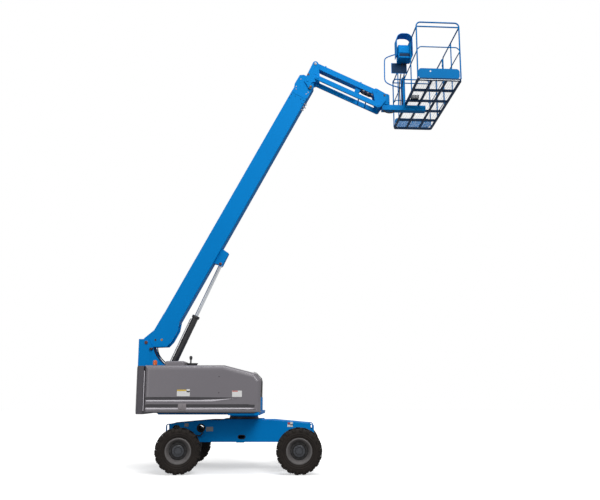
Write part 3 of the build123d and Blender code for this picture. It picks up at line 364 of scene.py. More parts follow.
def slab(name, outline, height, bevel=0.002, segments=2):
    """An outline in the XY plane pushed up along Z, every edge rounded."""
    piece = drawn(name, [(x, y, 0) for x, y in outline], [], [range(len(outline))])
    bpy.ops.mesh.extrude_region_move(TRANSFORM_OT_translate={"value": (0, 0, height)})
    bpy.ops.mesh.select_all(action="SELECT")
    if bevel:
        bpy.ops.mesh.bevel(offset=bevel, segments=segments, affect="EDGES")
    closed()
    return piece


def turned(name, profile, steps=48):
    """A profile of radius and height spun round Z."""
    points = [(radius, 0, height) for radius, height in profile]
    piece = drawn(name, points, [(i, i + 1) for i in range(len(points) - 1)], [])
    bpy.ops.mesh.spin(steps=steps, angle=math.tau, center=(0, 0, 0), axis=(0, 0, 1))
    closed()
    return piece


def bent(name, points, radius, rounding, smooth):
    """A curve object along points, as thick as a hose."""
    curve = bpy.data.curves.new(name, "CURVE")
    curve.dimensions = "3D"
    curve.bevel_depth = radius
    curve.bevel_resolution = rounding
    curve.resolution_u = smooth
    curve.use_fill_caps = True
    line = curve.splines.new("NURBS")
    line.points.add(len(points) - 1)
    for knot, spot_at in zip(line.points, points):
        knot.co = (*spot_at, 1)
    line.order_u = 3
    line.use_endpoint_u = True
    piece = bpy.data.objects.new(name, curve)
    bpy.context.collection.objects.link(piece)
    return piece


def pipe(name, points, radius):
    """A smooth rigid pipe along points, as a mesh."""
    bpy.ops.object.select_all(action="DESELECT")
    piece = bent(name, points, radius, 3, 6)
    bpy.context.view_layer.objects.active = piece
    piece.select_set(True)
    bpy.ops.object.convert(target="MESH")
    piece = bpy.context.object
    bpy.ops.object.mode_set(mode="EDIT")
    closed(50)
    return piece


def free_hose(name, points, radius, body):
    """A loose hose with both ends on the machine."""
    hose = bent(name, points, radius, 4, 8)
    hose.data.materials.append(hose_rubber)
    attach(hose, body)


def box_of(width, height, x=0.0, y=0.0):
    """A rectangle's corners round (x, y)."""
    return [(x - width / 2, y - height / 2), (x + width / 2, y - height / 2),
            (x + width / 2, y + height / 2), (x - width / 2, y + height / 2)]


def round_box(width, height, corner, x=0.0, y=0.0, steps=5):
    """A rectangle with rounded corners round (x, y)."""
    out = []
    for cx, cy, start in [(1, 1, 0), (-1, 1, 90), (-1, -1, 180), (1, -1, 270)]:
        for step in range(steps + 1):
            a = math.radians(start + 90 * step / steps)
            out.append((x + cx * (width / 2 - corner) + corner * math.cos(a),
                        y + cy * (height / 2 - corner) + corner * math.sin(a)))
    return out


def copy_of(blank):
    """A copy of a shaped blank with its own mesh."""
    copy = blank.copy()
    copy.data = blank.data.copy()
    bpy.context.collection.objects.link(copy)
    return copy


def moved(piece, matrix):
    """The piece, its mesh carried by a matrix."""
    piece.data.transform(matrix)
    return piece


def shift(x, y, z):
    """The matrix of a plain move."""
    return Matrix.Translation((x, y, z))


def ring_of(name, blank, count, radius, start=0.0, keep=True):
    """Copies of a blank round Z, joined into one piece; the blank goes unless it is kept."""
    copies = [moved(copy_of(blank),
                    Matrix.Rotation(start + math.tau * step / count, 4, "Z") @ shift(radius, 0, 0))
              for step in range(count)]
    if not keep:
        bpy.data.objects.remove(blank)
    return joined(name, copies)


def joined(name, parts):
    """Several shaped pieces as one object."""
    bpy.ops.object.select_all(action="DESELECT")
    for part in parts:
        part.select_set(True)
    bpy.context.view_layer.objects.active = parts[0]
    if len(parts) > 1:
        bpy.ops.object.join()
    parts[0].name = parts[0].data.name = name
    return parts[0]


def settle(piece, matrix, material, body):
    """Carry a shaped piece to its place, finish it and hang it on a body."""
    if matrix is not None:
        piece.data.transform(matrix)
    piece.data.materials.clear()
    piece.data.materials.append(material)
    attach(piece, body)
    return piece


SIDES = [("right", -1), ("left", 1)]
print("tools ready")

# %% [markdown]
# ## Wheels
# The tyres are the roughest things on the machine. Each one is a spun carcass with a stepped
# sidewall, and thirty-six skewed bars that run from the middle of the tread down over the
# shoulder. One wheel is made at the origin, its Z out of the hub, and copied to the four corners.

# %% One tyre
carcass = [(0.2456, 0.112), (0.256, 0.125), (0.268, 0.131), (0.282, 0.134), (0.296, 0.146), (0.304, 0.155),
           (0.312, 0.155), (0.318, 0.151), (0.334, 0.156), (0.341, 0.162), (0.349, 0.162), (0.356, 0.158),
           (0.376, 0.160), (0.400, 0.158), (0.420, 0.150), (0.434, 0.136), (0.438, 0.08), (0.4385, 0)]
outline = carcass + [(r, -z) for r, z in carcass[-2::-1]]
tyre_body = turned("tyre_body", outline + [(0.2456, 0.112)], 72)

bar_section = [(-0.018, 0.430), (-0.018, 0.4648), (0.140, 0.4645), (0.156, 0.459), (0.1695, 0.408),
               (0.1695, 0.385), (0.158, 0.378), (0.140, 0.428)]
BAR_INNER, BAR_REACH, BAR_RADIUS = -0.018, 0.188, 0.45


def bar_point(across, radius, edge):
    """A corner of a tread bar: it leans and widens towards the shoulder."""
    lean = (across - BAR_INNER) / BAR_REACH
    angle = (-0.020 + 0.034 * lean + edge * (0.036 + 0.018 * lean)) / BAR_RADIUS
    return (radius * math.cos(angle), radius * math.sin(angle), across)


BARS = 18  # on each shoulder
count = len(bar_section)
corners = [bar_point(*corner, edge) for edge in (0, 1) for corner in bar_section]
sides = [range(count), range(2 * count - 1, count - 1, -1)]
sides += [(i, (i + 1) % count, (i + 1) % count + count, i + count) for i in range(count)]
tread_bar = drawn("tread_bar", corners, [], sides)
bpy.ops.mesh.bevel(offset=0.0035, segments=1, affect="EDGES")
closed()
near_bars = ring_of("near_bars", tread_bar, BARS, 0)
far_bars = ring_of("far_bars", tread_bar, BARS, 0, math.pi / BARS, keep=False)
far_bars.data.transform(Matrix.Scale(-1, 4, (0, 0, 1)))
far_bars.data.flip_normals()
tyre_blank = joined("tyre_blank", [tyre_body, near_bars, far_bars])
print("tyre faces:", len(tyre_blank.data.polygons))

# %% [markdown]
# A wheel's rim shows four things from the side: the rolled lip, made light as a painted highlight,
# the dark dish, the ring of nuts, and the round hub with its cap and small bolts.

# %% Rim, nuts and hub
lip_blank = turned("lip_blank", [
    (0.2325, 0.030), (0.2325, 0.124), (0.236, 0.131), (0.243, 0.134), (0.256, 0.133), (0.263, 0.129),
    (0.2635, 0.1255), (0.240, 0.1255), (0.2295, 0.118), (0.186, 0.050), (0.181, 0.028), (0.2325, 0.026),
    (0.2325, 0.030)], 72)
nut = turned("nut", [(0.0, 0.020), (0.0075, 0.020), (0.0085, 0.018), (0.0085, 0.012), (0.013, 0.012),
                     (0.016, 0.009), (0.016, 0.0), (0.021, 0.0), (0.021, -0.004), (0.0, -0.004)], 6)
nuts_blank = moved(ring_of("nuts_blank", nut, 9, 0.157, keep=False), shift(0, 0, 0.021))
hub_plate = turned("hub_plate", [
    (0.0745, 0.0752), (0.0745, 0.080), (0.078, 0.083), (0.114, 0.083), (0.1185, 0.080), (0.1185, 0.0752),
    (0.0745, 0.0752)])
cap_face = turned("cap_face", [
    (0.0, 0.0903), (0.0685, 0.0903), (0.0685, 0.094), (0.066, 0.097), (0.030, 0.099), (0.0, 0.099)])
hub_blank = joined("hub_blank", [hub_plate, cap_face])
stud = turned("stud", [(0.0, 0.007), (0.006, 0.007), (0.0085, 0.005), (0.0085, 0.0), (0.0, 0.0)], 8)
ring_studs = moved(ring_of("ring_studs", stud, 10, 0.097), shift(0, 0, 0.083))
cap_studs = moved(ring_of("cap_studs", stud, 3, 0.045, 0.5, keep=False), shift(0, 0, 0.098))
studs_blank = joined("studs_blank", [ring_studs, cap_studs])

# %% [markdown]
# The two steered wheels stand turned by ten degrees, so a wheel's place follows from its knuckle.

# %% The four wheels
STEERED = math.radians(10)
HALF_WHEELBASE, AXLE_HEIGHT = 1.255, 0.465
KNUCKLE_OUT, WHEEL_OUT = 0.8, 0.275  # the wheel's middle stands out from its knuckle
wheels = [("steer_right", -HALF_WHEELBASE, -1, STEERED), ("steer_left", -HALF_WHEELBASE, 1, STEERED),
          ("drive_right", HALF_WHEELBASE, -1, 0.0), ("drive_left", HALF_WHEELBASE, 1, 0.0)]
wheel_parts = [(tyre_blank, "tyre_dressed_", tyre_rubber), (lip_blank, "rim_lip_", rim_highlight_grey),
               (nuts_blank, "wheel_nuts_", black_steel), (hub_blank, "hub_cap_", hub_paint),
               (studs_blank, "hub_studs_", black_steel)]
for name, x, side, turn in wheels:
    out = Vector((-side * math.sin(turn), side * math.cos(turn), 0))
    centre = on_machine(x, side * KNUCKLE_OUT, AXLE_HEIGHT) + out * WHEEL_OUT
    stand = frame_at(centre, Vector((0, 0, 1)).cross(out), out)
    for blank, prefix, material in wheel_parts:
        part = copy_of(blank)
        part.name = part.data.name = prefix + name
        settle(part, stand, material, "wheel_" + name)
    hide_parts("tyre_" + name)
for blank, _, _ in wheel_parts:
    bpy.data.objects.remove(blank)
print("wheels:", len(wheels))

# %% [markdown]
# ## Covers
# The two grey covers carry a pair of pressed grooves along each side. A dark grey strip in each
# groove is painted shade, and a lip under it is light as a painted highlight; the upper pair
# fades out in a taper towards the front. The left cover is drawn back at its front, as its solid is.

# %% Grooves, lips, latches and blank plates
COVER_SIDE, GROOVE_DEPTH = 1.150, 0.0122
LEFT_SHORT = 0.150  # the left cover ends this much further back
covers = [("right", near_side, 0.0, 1), ("left", far_side, LEFT_SHORT, -1)]  # last: X forward or back
THIN = (0.002, 0.0008, 1)  # height, rounding and its steps
for side_name, side_place, short, way in covers:
    groove_floor = side_place(0, -way * (COVER_SIDE - GROOVE_DEPTH), 0)
    face_at = side_place(0, -way * COVER_SIDE, 0)

    def panel(points, *shape):
        """A slab on the cover, where forward runs the other way on the far side."""
        return slab("panel", [(way * px, pz) for px, pz in points], *shape)

    def fixed(name, parts, at, material):
        """Parts joined on the cover."""
        settle(joined(f"{name}_{side_name}", parts), at, material, side_name + "_cover")

    # Painted shade: dark strips on the groove floors stand for the shade inside the grooves.
    fixed("groove_shade_strips", [
        panel(round_box(1.134, 0.050, 0.024, -1.330, 1.513), *THIN),
        panel(round_box(2.134 - short, 0.062, 0.030, -0.830 - short / 2, 1.363), *THIN)],
        groove_floor, groove_shade)
    # Painted shade: the same dark grey where the grooves taper out.
    fixed("groove_taper", [
        panel([(-0.795, 1.487), (-0.300 - short, 1.505), (-0.060 - short, 1.528),
               (-0.300 - short, 1.536), (-0.795, 1.541)], *THIN),
        panel([(0.200 - short, 1.332), (0.345 - short, 1.337), (0.345 - short, 1.388),
               (0.200 - short, 1.394)], *THIN)],
        face_at, groove_shade)
    # Painted highlight: light strips under the grooves and up the back end of the cover.
    fixed("cover_lip_highlights", [
        panel([(-1.880, 1.452), (-0.520 - short, 1.452), (-0.020 - short, 1.522),
               (-0.300 - short, 1.502), (-0.760, 1.483), (-1.880, 1.483)], 0.009, 0.008, 3),
        panel([(-1.880, 1.292), (0.380 - short, 1.292), (0.380 - short, 1.300), (0.240 - short, 1.327),
               (-1.880, 1.327)], 0.009, 0.008, 3),
        panel([(-1.939, 1.262), (-1.924, 1.262), (-1.924, 2.080), (-1.939, 2.080)], 0.006, 0.005, 3)],
        face_at, shell_lip_highlight)
    # Painted shade: a dark grey strip along the foot of the cover.
    fixed("cover_foot_shade", [
        panel([(-1.938, 1.222), (0.352 - short, 1.222), (0.352 - short, 1.250), (-1.938, 1.250)],
              0.007, 0.003, 2)], face_at, groove_shade)
    fixed("cover_latch", [
        panel(round_box(0.168, 0.150, 0.020, -1.137, 1.3375), 0.010, 0.004, 2),
        panel(round_box(0.060, 0.085, 0.012, -1.165, 1.3375), 0.017, 0.004, 2),
        panel(round_box(0.040, 0.110, 0.010, -1.092, 1.3375), 0.014, 0.003, 2)], face_at, latch_grey)
    fixed("cover_screws", [
        moved(turned("screw", [(0.0, 0.004), (0.008, 0.004), (0.011, 0.002), (0.011, 0.0), (0.0, 0.0)], 12),
              shift(way * (-0.392 - short), height, 0)) for height in (1.958, 1.629)], face_at, black_steel)

plates = [  # name, corners of each plate, finish
    ("plate_white", [(-1.251, 1.560, -0.985, 1.665), (-1.055, 1.640, -0.985, 1.700),
                     (-0.120, 1.546, 0.082, 1.672)], sign_white),
    ("plate_yellow", [(-1.251, 1.665, -1.060, 1.692)], sign_yellow),
    ("plate_red", [(-0.115, 1.652, -0.005, 1.670)], sign_red)]
for name, places, material in plates:
    height = 0.0014 if name == "plate_white" else 0.0026  # a coloured plate lies on the white one
    parts = [slab(name, box_of(x1 - x0, z1 - z0, (x0 + x1) / 2, (z0 + z1) / 2), height, 0.0005, 1)
             for x0, z0, x1, z1 in places]
    settle(joined("cover_" + name, parts), near_side(0, -COVER_SIDE, 0), material, "right_cover")

# %% [markdown]
# A black rubber seal follows the front end of each cover, and a blue edge strip stands below it.
# The intake cap gets a flat hood and a dome. The beacon's plain solid gives way to a taller ribbed
# lens on a foot.

# %% Seals and roof fittings
seal_line = [(0.300, 2.052), (0.352, 2.036), (0.420, 1.968), (0.462, 1.925), (0.474, 1.880), (0.470, 1.700),
             (0.468, 1.540)]
for side_name, sign, short in [("right", -1, 0.0), ("left", 1, LEFT_SHORT)]:
    inner, outer = sign * 0.960, sign * 1.045
    rows = [[on_machine(x + out - short, y, z + out * 0.4) for x, z in seal_line]
            for y in (inner, outer) for out in (0.002, 0.014)]
    points = [p for row in rows for p in row]
    n = len(seal_line)
    quads = []
    for a, b in [(0, 1), (1, 3), (3, 2), (2, 0)]:
        quads += [(a * n + i, b * n + i, b * n + i + 1, a * n + i + 1) for i in range(n - 1)]
    quads += [(0, n, 3 * n, 2 * n), (n - 1, 2 * n - 1, 4 * n - 1, 3 * n - 1)]
    seal = drawn("front_seal_" + side_name, points, [], quads)
    closed(60)
    settle(seal, None, seal_rubber, side_name + "_cover")
    settle(slab("front_edge_" + side_name, box_of(0.290, 0.012), 0.560, 0.003, 2),
           frame_at(on_machine(0.466 - short, sign * 0.48, 1.395), (0, 0, 1), (0, sign, 0)),
           blue_paint, side_name + "_cover")

settle(slab("intake_hood", round_box(0.235, 0.150, 0.040), 0.020, 0.006, 3),
       upright(-1.010, -0.800, 2.230), black_plastic, "right_cover")
dome = turned("intake_dome", [
    (0.0, 0.052), (0.010, 0.051), (0.022, 0.043), (0.031, 0.028), (0.034, 0.010), (0.036, 0.0), (0.0, 0.0)],
    24)
settle(dome, upright(-1.042, -0.800, 2.352), black_plastic, "right_cover")
BEACON = (-1.890, -0.400, 2.1803)
beacon_lens = turned("beacon_lens", [
    (0.0, 0.0), (0.052, 0.0), (0.054, 0.006), (0.054, 0.040), (0.049, 0.050), (0.042, 0.052),
    (0.042, 0.058), (0.0425, 0.128), (0.038, 0.146), (0.024, 0.156), (0.0, 0.158)], 40)
settle(beacon_lens, upright(*BEACON), amber_lens, "turntable")
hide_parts("beacon")
beacon_foot = turned("beacon_foot", [
    (0.0545, 0.0005), (0.058, 0.003), (0.058, 0.038), (0.053, 0.051), (0.0435, 0.055), (0.0435, 0.0515),
    (0.0495, 0.0505), (0.0545, 0.0405), (0.0545, 0.0005)], 40)
settle(beacon_foot, upright(*BEACON), black_plastic, "turntable")
rib = slab("rib", box_of(0.004, 0.005), 0.060, 0.001, 1)
settle(ring_of("beacon_ribs", rib, 16, 0.0425, keep=False),
       upright(*BEACON[:2], 2.240), amber_lens, "turntable")
print("covers dressed")

# %% [markdown]
# ## Chassis and turntable
# The chassis carries blank plates where a real one has its notices, a rubber ring round the oval
# opening, a collar and a loose hose at the round one, and a drain plate below. The slew ring gets
# its circle of bolts, and the drive axle the bolts that hold it from below.

# %% Chassis fittings
FRAME_SIDE = 0.480


def ring_plate(name, outer, inner, height):
    """A flat ring between two outlines with as many corners."""
    n = len(outer)
    points = [(x, y, z) for z in (0, height) for line in (outer, inner) for x, y in line]
    quads = []
    for a, b in [(0, 1), (1, 3), (3, 2), (2, 0)]:
        quads += [(a * n + i, b * n + i, b * n + (i + 1) % n, a * n + (i + 1) % n) for i in range(n)]
    piece = drawn(name, points, [], quads)
    closed()
    return piece


def bolts_at(name, spots, place, material, body, size=1.0, tall=1.0):
    """Bolt heads standing on a side at the listed places."""
    stretch = Matrix.Diagonal((size, size, size * tall, 1))
    heads = [moved(copy_of(bolt), place(*spot) @ stretch) for spot in spots]
    settle(joined(name, heads), None, material, body)


oval = ring_plate("oval_ring", round_box(0.164, 0.092, 0.045, steps=8),
                  round_box(0.131, 0.061, 0.030, steps=8), 0.006)
settle(oval, near_side(0.027, -FRAME_SIDE, 0.705), seal_rubber, "chassis")
collar = turned("hose_collar", [
    (0.0605, 0.0), (0.0605, 0.008), (0.066, 0.013), (0.086, 0.013), (0.092, 0.008), (0.092, 0.0),
    (0.0605, 0.0)], 48)
settle(collar, near_side(-0.840, -FRAME_SIDE, 0.892), seal_rubber, "chassis")

blank_plates = [("chassis_plate_grey", [(-1.150, 0.955, 0.085, 0.070), (-0.655, 0.870, 0.150, 0.095)],
                 sign_grey),
                ("chassis_plate_white", [(1.060, 0.945, 0.115, 0.055), (1.090, 0.985, 0.055, 0.070)],
                 sign_white),
                ("chassis_plate_red", [(1.035, 0.985, 0.050, 0.050)], sign_red)]
for name, spots, material in blank_plates:
    parts = [slab(name, box_of(w, h, x, z), 0.003, 0.0008, 1) for x, z, w, h in spots]
    settle(joined(name, parts), near_side(0, -FRAME_SIDE, 0), material, "chassis")

block = slab("valve_block", round_box(0.150, 0.080, 0.012), 0.060, 0.006, 2)
ports = [moved(turned("port", [
    (0.0, 0.100), (0.010, 0.100), (0.012, 0.085), (0.020, 0.085), (0.020, 0.068), (0.016, 0.060),
    (0.0, 0.060)], 6), shift(x, 0, 0)) for x in (-0.045, 0.0, 0.045)]
settle(joined("steer_valve", [block] + ports), near_side(-1.350, -0.350, 0.930), black_steel, "chassis")

settle(slab("drain_plate", round_box(0.170, 0.110, 0.020), 0.014, 0.004, 2),
       hanging(-0.004, -0.395, 0.600), blue_paint, "chassis")

bolt = turned("bolt", [(0.0, 0.012), (0.011, 0.012), (0.013, 0.009), (0.013, 0.0), (0.0, 0.0)], 6)
settle(ring_of("slew_bolts", bolt, 28, 0.296), upright(0.035, 0, 1.118), black_steel, "chassis")
axle_spots = [
    (HALF_WHEELBASE + step, y, 0.592) for y in (-0.36, -0.24, 0.24, 0.36) for step in (-0.105, 0.105)]
bolts_at("axle_bolts", axle_spots, hanging, black_steel, "chassis")

hose_route = [
    (-0.832, -0.455, 0.846), (-0.830, -0.495, 0.842), (-0.815, -0.525, 0.822), (-0.800, -0.535, 0.775),
    (-0.850, -0.538, 0.736), (-0.930, -0.536, 0.738), (-1.010, -0.530, 0.772), (-1.075, -0.520, 0.824),
    (-1.110, -0.505, 0.852), (-1.120, -0.481, 0.858)]
free_hose("chassis_hose", [on_machine(*p) for p in hose_route], 0.013, "chassis")
print("chassis dressed")

# %% [markdown]
# The turret has keepers on the ends of its pins, dark trim along its front curve, and one small
# fitting by the boom's root.

# %% Turret
def cap(name, radius, height=0.010):
    """A pin's domed keeper plate."""
    return turned(name, [
        (0.0, height), (radius * 0.55, height), (radius * 0.8, height * 0.8),
        (radius, height * 0.35), (radius, 0.0), (0.0, 0.0)], 32)


TURRET_SIDE, ROOT_SIDE = 0.1985, 0.1505
caps = [  # name, radius, height, place, finish, body
    ("pivot_cap_", 0.036, 0.010, (-2.152, TURRET_SIDE, 2.743), rust_pin, "turntable"),
    ("lift_pin_cap_", 0.028, 0.010, (-1.805, TURRET_SIDE, 1.745), rust_pin, "turntable"),
    ("root_pin_black_", 0.024, 0.003, (-1.958, ROOT_SIDE, 2.803), black_steel, "base_boom"),
    ("root_pin_gold_", 0.024, 0.003, (-1.815, ROOT_SIDE, 2.803), brass, "base_boom")]
for side_name, place, sign in [("right", near_side, -1), ("left", far_side, 1)]:
    for name, radius, height, (x, y, z), material, body in caps:
        settle(cap(name + side_name, radius, height), place(x, sign * y, z), material, body)
    trim_line = [(-1.984, 2.636), (-1.975, 2.560), (-1.940, 2.470), (-1.890, 2.400), (-1.810, 2.315),
                 (-1.728, 2.246)]
    trim = pipe("turret_trim_" + side_name,
                [on_machine(x + 0.013, sign * 0.170, z + 0.010) for x, z in trim_line], 0.012)
    settle(trim, None, seal_rubber, "turntable")
settle(slab("turret_fitting", round_box(0.075, 0.050, 0.010), 0.040, 0.005, 2),
       near_side(-2.030, -0.186, 2.600), black_steel, "turntable")
nut_cap = turned("turret_fitting_nut", [
    (0.0, 0.026), (0.012, 0.026), (0.018, 0.018), (0.018, 0.0), (0.0, 0.0)], 6)
settle(nut_cap, near_side(-2.012, -0.226, 2.600), rust_pin, "turntable")

# %% [markdown]
# ## Boom and jib
# The boom itself is plain paint. What makes it read as a machine are its small parts: wear-pad
# bolts at the ends of the sections, pin keepers, the plated pipe and collar of the lift cylinder,
# and the hydraulic fittings at the knee and under the jib's end.

# %% Boom fittings
def boom_side_at(along, side, up):
    """A place on the boom's side."""
    return on_member(boom_pivot, BOOM_ANGLE, along, side, up)


def jib_side_at(along, side, up):
    """A place on the jib's side."""
    return on_member(jib_pivot, JIB_ANGLE, along, side, up)


head_spots = [(7.205, -0.060), (6.985, -0.050), (6.925, -0.076), (6.985, -0.372), (6.925, -0.350)]
pad_spots = [(6.740, -0.050), (6.740, -0.150), (6.740, -0.300), (6.740, -0.385), (6.650, -0.050),
             (6.650, -0.385)]
FLY_SIDE, BASE_SIDE = 0.120, 0.150
for side_name, sign in SIDES:
    bolts_at("head_bolts_" + side_name, [(a, sign * FLY_SIDE, u) for a, u in head_spots],
             boom_side_at, zinc_pipe, "fly_boom", 1.2, 0.3)
    bolts_at("pad_bolts_" + side_name, [(a, sign * BASE_SIDE, u) for a, u in pad_spots],
             boom_side_at, deep_blue, "base_boom", 0.9)
    settle(cap("knee_pin_" + side_name, 0.026), pin_end(1.471, sign, 0.1485, 9.177),
           rust_pin, "level_bellcrank")
    settle(cap("arm_pin_" + side_name, 0.034), pin_end(1.645, sign, 0.1585, 9.449),
           zinc_pipe, "level_bellcrank")
    settle(cap("bracket_pin_" + side_name, 0.034, 0.008),
           pin_end(-0.549, sign, 0.0825, 4.551), rust_pin, "base_boom")

down = Vector((math.sin(BOOM_ANGLE), 0, -math.cos(BOOM_ANGLE)))
elbows = [moved(turned("elbow", [
    (0.0, length), (0.009, length), (0.011, length - 0.02), (0.017, length - 0.024), (0.017, 0.020),
    (0.022, 0.016), (0.022, 0.0), (0.0, 0.0)], 12),
    frame_at(on_boom(along, -0.080, -0.4200), (0, 1, 0), down))
    for along, length in [(6.540, 0.070), (6.620, 0.085), (6.700, 0.070)]]
settle(joined("boom_fittings", elbows), None, zinc_pipe, "base_boom")
settle(slab("knee_valve", round_box(0.090, 0.060, 0.010), 0.045, 0.005, 2),
       boom_side_at(7.110, -0.120, -0.365), black_steel, "fly_boom")
settle(turned("knee_port", [(0.0, 0.030), (0.010, 0.030), (0.017, 0.020), (0.017, 0.0), (0.0, 0.0)], 6),
       boom_side_at(7.125, -0.165, -0.372), brass, "fly_boom")

# %% [markdown]
# A plated pipe runs along the lift cylinder's barrel under three clips, and a collar closes the
# barrel's end, where the rod comes out.

# %% Lift cylinder
lift_foot = on_machine(-1.805, 0, 1.745)
lift_top = on_machine(-0.549, 0, 4.551)
LIFT_ANGLE = math.atan2(lift_top.z - lift_foot.z, lift_top.x - lift_foot.x)
lift_dir = (lift_top - lift_foot).normalized()
ring_collar = turned("lift_collar", [
    (0.0805, 0.0), (0.084, 0.0), (0.088, 0.006), (0.088, 0.044), (0.083, 0.052), (0.0805, 0.052),
    (0.0805, 0.0)], 40)
settle(ring_collar, frame_at(lift_foot + lift_dir * 1.712, (0, 1, 0), lift_dir), black_steel, "lift_barrel")
pipe_line = [tilted(lift_foot, LIFT_ANGLE, a, -0.020, u) for a, u in
             [(0.560, 0.071), (0.580, 0.088), (0.640, 0.088), (1.580, 0.088), (1.650, 0.088),
              (1.668, 0.076)]]
settle(pipe("lift_pipe", pipe_line, 0.011), None, zinc_pipe, "lift_barrel")
clips = [moved(
    turned("clip", [(0.0702, 0.0), (0.074, 0.0), (0.074, 0.024), (0.0702, 0.024), (0.0702, 0.0)], 32),
    frame_at(lift_foot + lift_dir * along, (0, 1, 0), lift_dir)) for along in (0.700, 1.120, 1.540)]
settle(joined("lift_clips", clips), None, black_steel, "lift_barrel")

# %% [markdown]
# The jib's arm carries small lugs above, and below it the ends of its hoses and two bent pipes.

# %% Jib fittings
ARM_SIDE, UNDER_ARM = 0.070, -0.078
ahead = Vector((math.cos(JIB_ANGLE), 0, math.sin(JIB_ANGLE)))
for side_name, sign in SIDES:
    lugs = [moved(
        slab("lug", [(-0.022, 0), (0.022, 0), (0.012, 0.030), (-0.012, 0.030)], 0.012, 0.002, 1),
        jib_side_at(along, sign * ARM_SIDE, 0.0650)) for along in (0.240, 1.178)]
    settle(joined("arm_lugs_" + side_name, lugs), None, blue_paint, "jib")
    tips = [moved(turned("tip", [
        (0.0, 0.050), (0.012, 0.050), (0.018, 0.046), (0.018, 0.022), (0.013, 0.018), (0.013, 0.0),
        (0.0, 0.0)], 6), frame_at(on_jib(along, sign * ARM_SIDE, UNDER_ARM), (0, 1, 0), ahead))
        for along in (1.300, 1.410, 1.520)]
    settle(joined("jib_hose_ends_" + side_name, tips), None, zinc_pipe, "jib")
    for turn, (start, end) in enumerate([(1.235, 1.560), (1.250, 1.540)]):
        up = UNDER_ARM - 0.026 * turn
        line = [on_jib(a, sign * (ARM_SIDE - 0.02 * turn), u) for a, u in [
            (start, -0.066), (start + 0.03, up), (start + 0.12, up), (end - 0.10, up),
            (end - 0.03, up), (end, -0.064)]]
        settle(pipe(f"jib_pipe_{turn + 1}_{side_name}", line, 0.011), None, hose_rubber, "jib")
    settle(cap("support_pin_" + side_name, 0.026),
           pin_end(3.290, sign, 0.1485, 8.640), black_steel, "support")
print("boom and jib dressed")

# %% [markdown]
# ## Platform
# The floor is a fine grid that nearly vanishes at a distance, so it is laid bar by bar. The
# control box has a framed face with a recess under a rolled lip, levers on top, and a bent tube
# guards its outer side. The recess and the plate below it are navy as painted shade.

# %% Floor grid
DECK_MID, DECK_LONG, DECK_WIDE, FLOOR_TOP = 0.954, 2.544, 0.930, 8.490


def deck_at(x, y, z, x_dir=(1, 0, 0), z_dir=(0, 0, 1)):
    """A place on the deck; the directions are the deck's own."""
    turn = Matrix.Rotation(PLATFORM_YAW, 3, "Z")
    return frame_at(on_deck(x, y, z), turn @ Vector(x_dir), turn @ Vector(z_dir))


WIRE_WIDE, WIRE_LOW, WIRE_TALL = 0.0035, 0.0006, 0.0034
grid = []
for count, span, length, along_x in [(19, DECK_WIDE, DECK_LONG, False), (51, DECK_LONG, DECK_WIDE, True)]:
    for step in range(count):
        across = -span / 2 + span * step / (count - 1)
        wire = drawn("wire", [(x, y, WIRE_LOW) for x, y in box_of(length, WIRE_WIDE)], [], [range(4)])
        bpy.ops.mesh.extrude_region_move(TRANSFORM_OT_translate={"value": (0, 0, WIRE_TALL)})
        closed()
        turn = Matrix.Rotation(math.pi / 2, 4, "Z")
        grid.append(moved(wire, shift(0, across, -0.0002) if along_x else shift(across, 0, 0) @ turn))
floor_grid = settle(joined("floor_grid", grid), deck_at(DECK_MID, 0, FLOOR_TOP), zinc_mesh, "platform")
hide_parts("platform_mesh")

# %% [markdown]
# The face, the recess, the lip and the plate below are flat pieces on the box's outer side; the
# navy of the recess and of the plate is painted shade.

# %% Control box, guard tube and hoses
CONSOLE_TOP = 9.6612
near_face = deck_at(0, -0.640, 0, z_dir=(0, -1, 0))
settle(slab("console_face", round_box(0.286, 0.180, 0.014, 0.355, 9.555), 0.010, 0.003, 2),
       near_face, blue_paint, "platform")
# Painted shade: a navy slab where the box's recess falls in shade.
settle(slab("console_recess_shade", round_box(0.270, 0.082, 0.010, 0.355, 9.412), 0.005, 0.002, 1),
       near_face, shade_navy_paint, "platform")
lip = slab("console_lip", [
    (0.198, 9.330), (0.512, 9.330), (0.512, 9.420), (0.500, 9.420), (0.500, 9.362), (0.210, 9.362),
    (0.210, 9.420), (0.198, 9.420)], 0.030, 0.005, 2)
settle(lip, near_face, blue_paint, "platform")
# Painted shade: the plate under the lip is navy because it lies in shade.
settle(slab("console_lower_plate", round_box(0.350, 0.240, 0.012, 0.255, 9.193), 0.004, 0.001, 1),
       deck_at(0, -0.4205, 0, z_dir=(0, -1, 0)), shade_navy_paint, "platform")

levers = [moved(turned("stick", [
    (0.0, 0.100), (0.010, 0.098), (0.015, 0.090), (0.016, 0.078), (0.011, 0.062), (0.006, 0.050),
    (0.006, 0.018), (0.024, 0.010), (0.028, 0.002), (0.028, 0.0), (0.0, 0.0)], 20),
    deck_at(x, -0.470, CONSOLE_TOP)) for x in (0.270, 0.420)]
levers += [moved(turned("switch", [
    (0.0, 0.030), (0.004, 0.030), (0.005, 0.012), (0.009, 0.010), (0.009, 0.0), (0.0, 0.0)], 10),
    deck_at(0.245 + 0.055 * step, -0.580, CONSOLE_TOP)) for step in range(5)]
settle(joined("console_levers", levers), None, black_plastic, "platform")
stop = turned("stop_button", [
    (0.0, 0.028), (0.018, 0.026), (0.024, 0.020), (0.024, 0.014), (0.012, 0.012), (0.012, 0.0),
    (0.0, 0.0)], 24)
settle(stop, deck_at(0.345, -0.500, CONSOLE_TOP), sign_red, "platform")

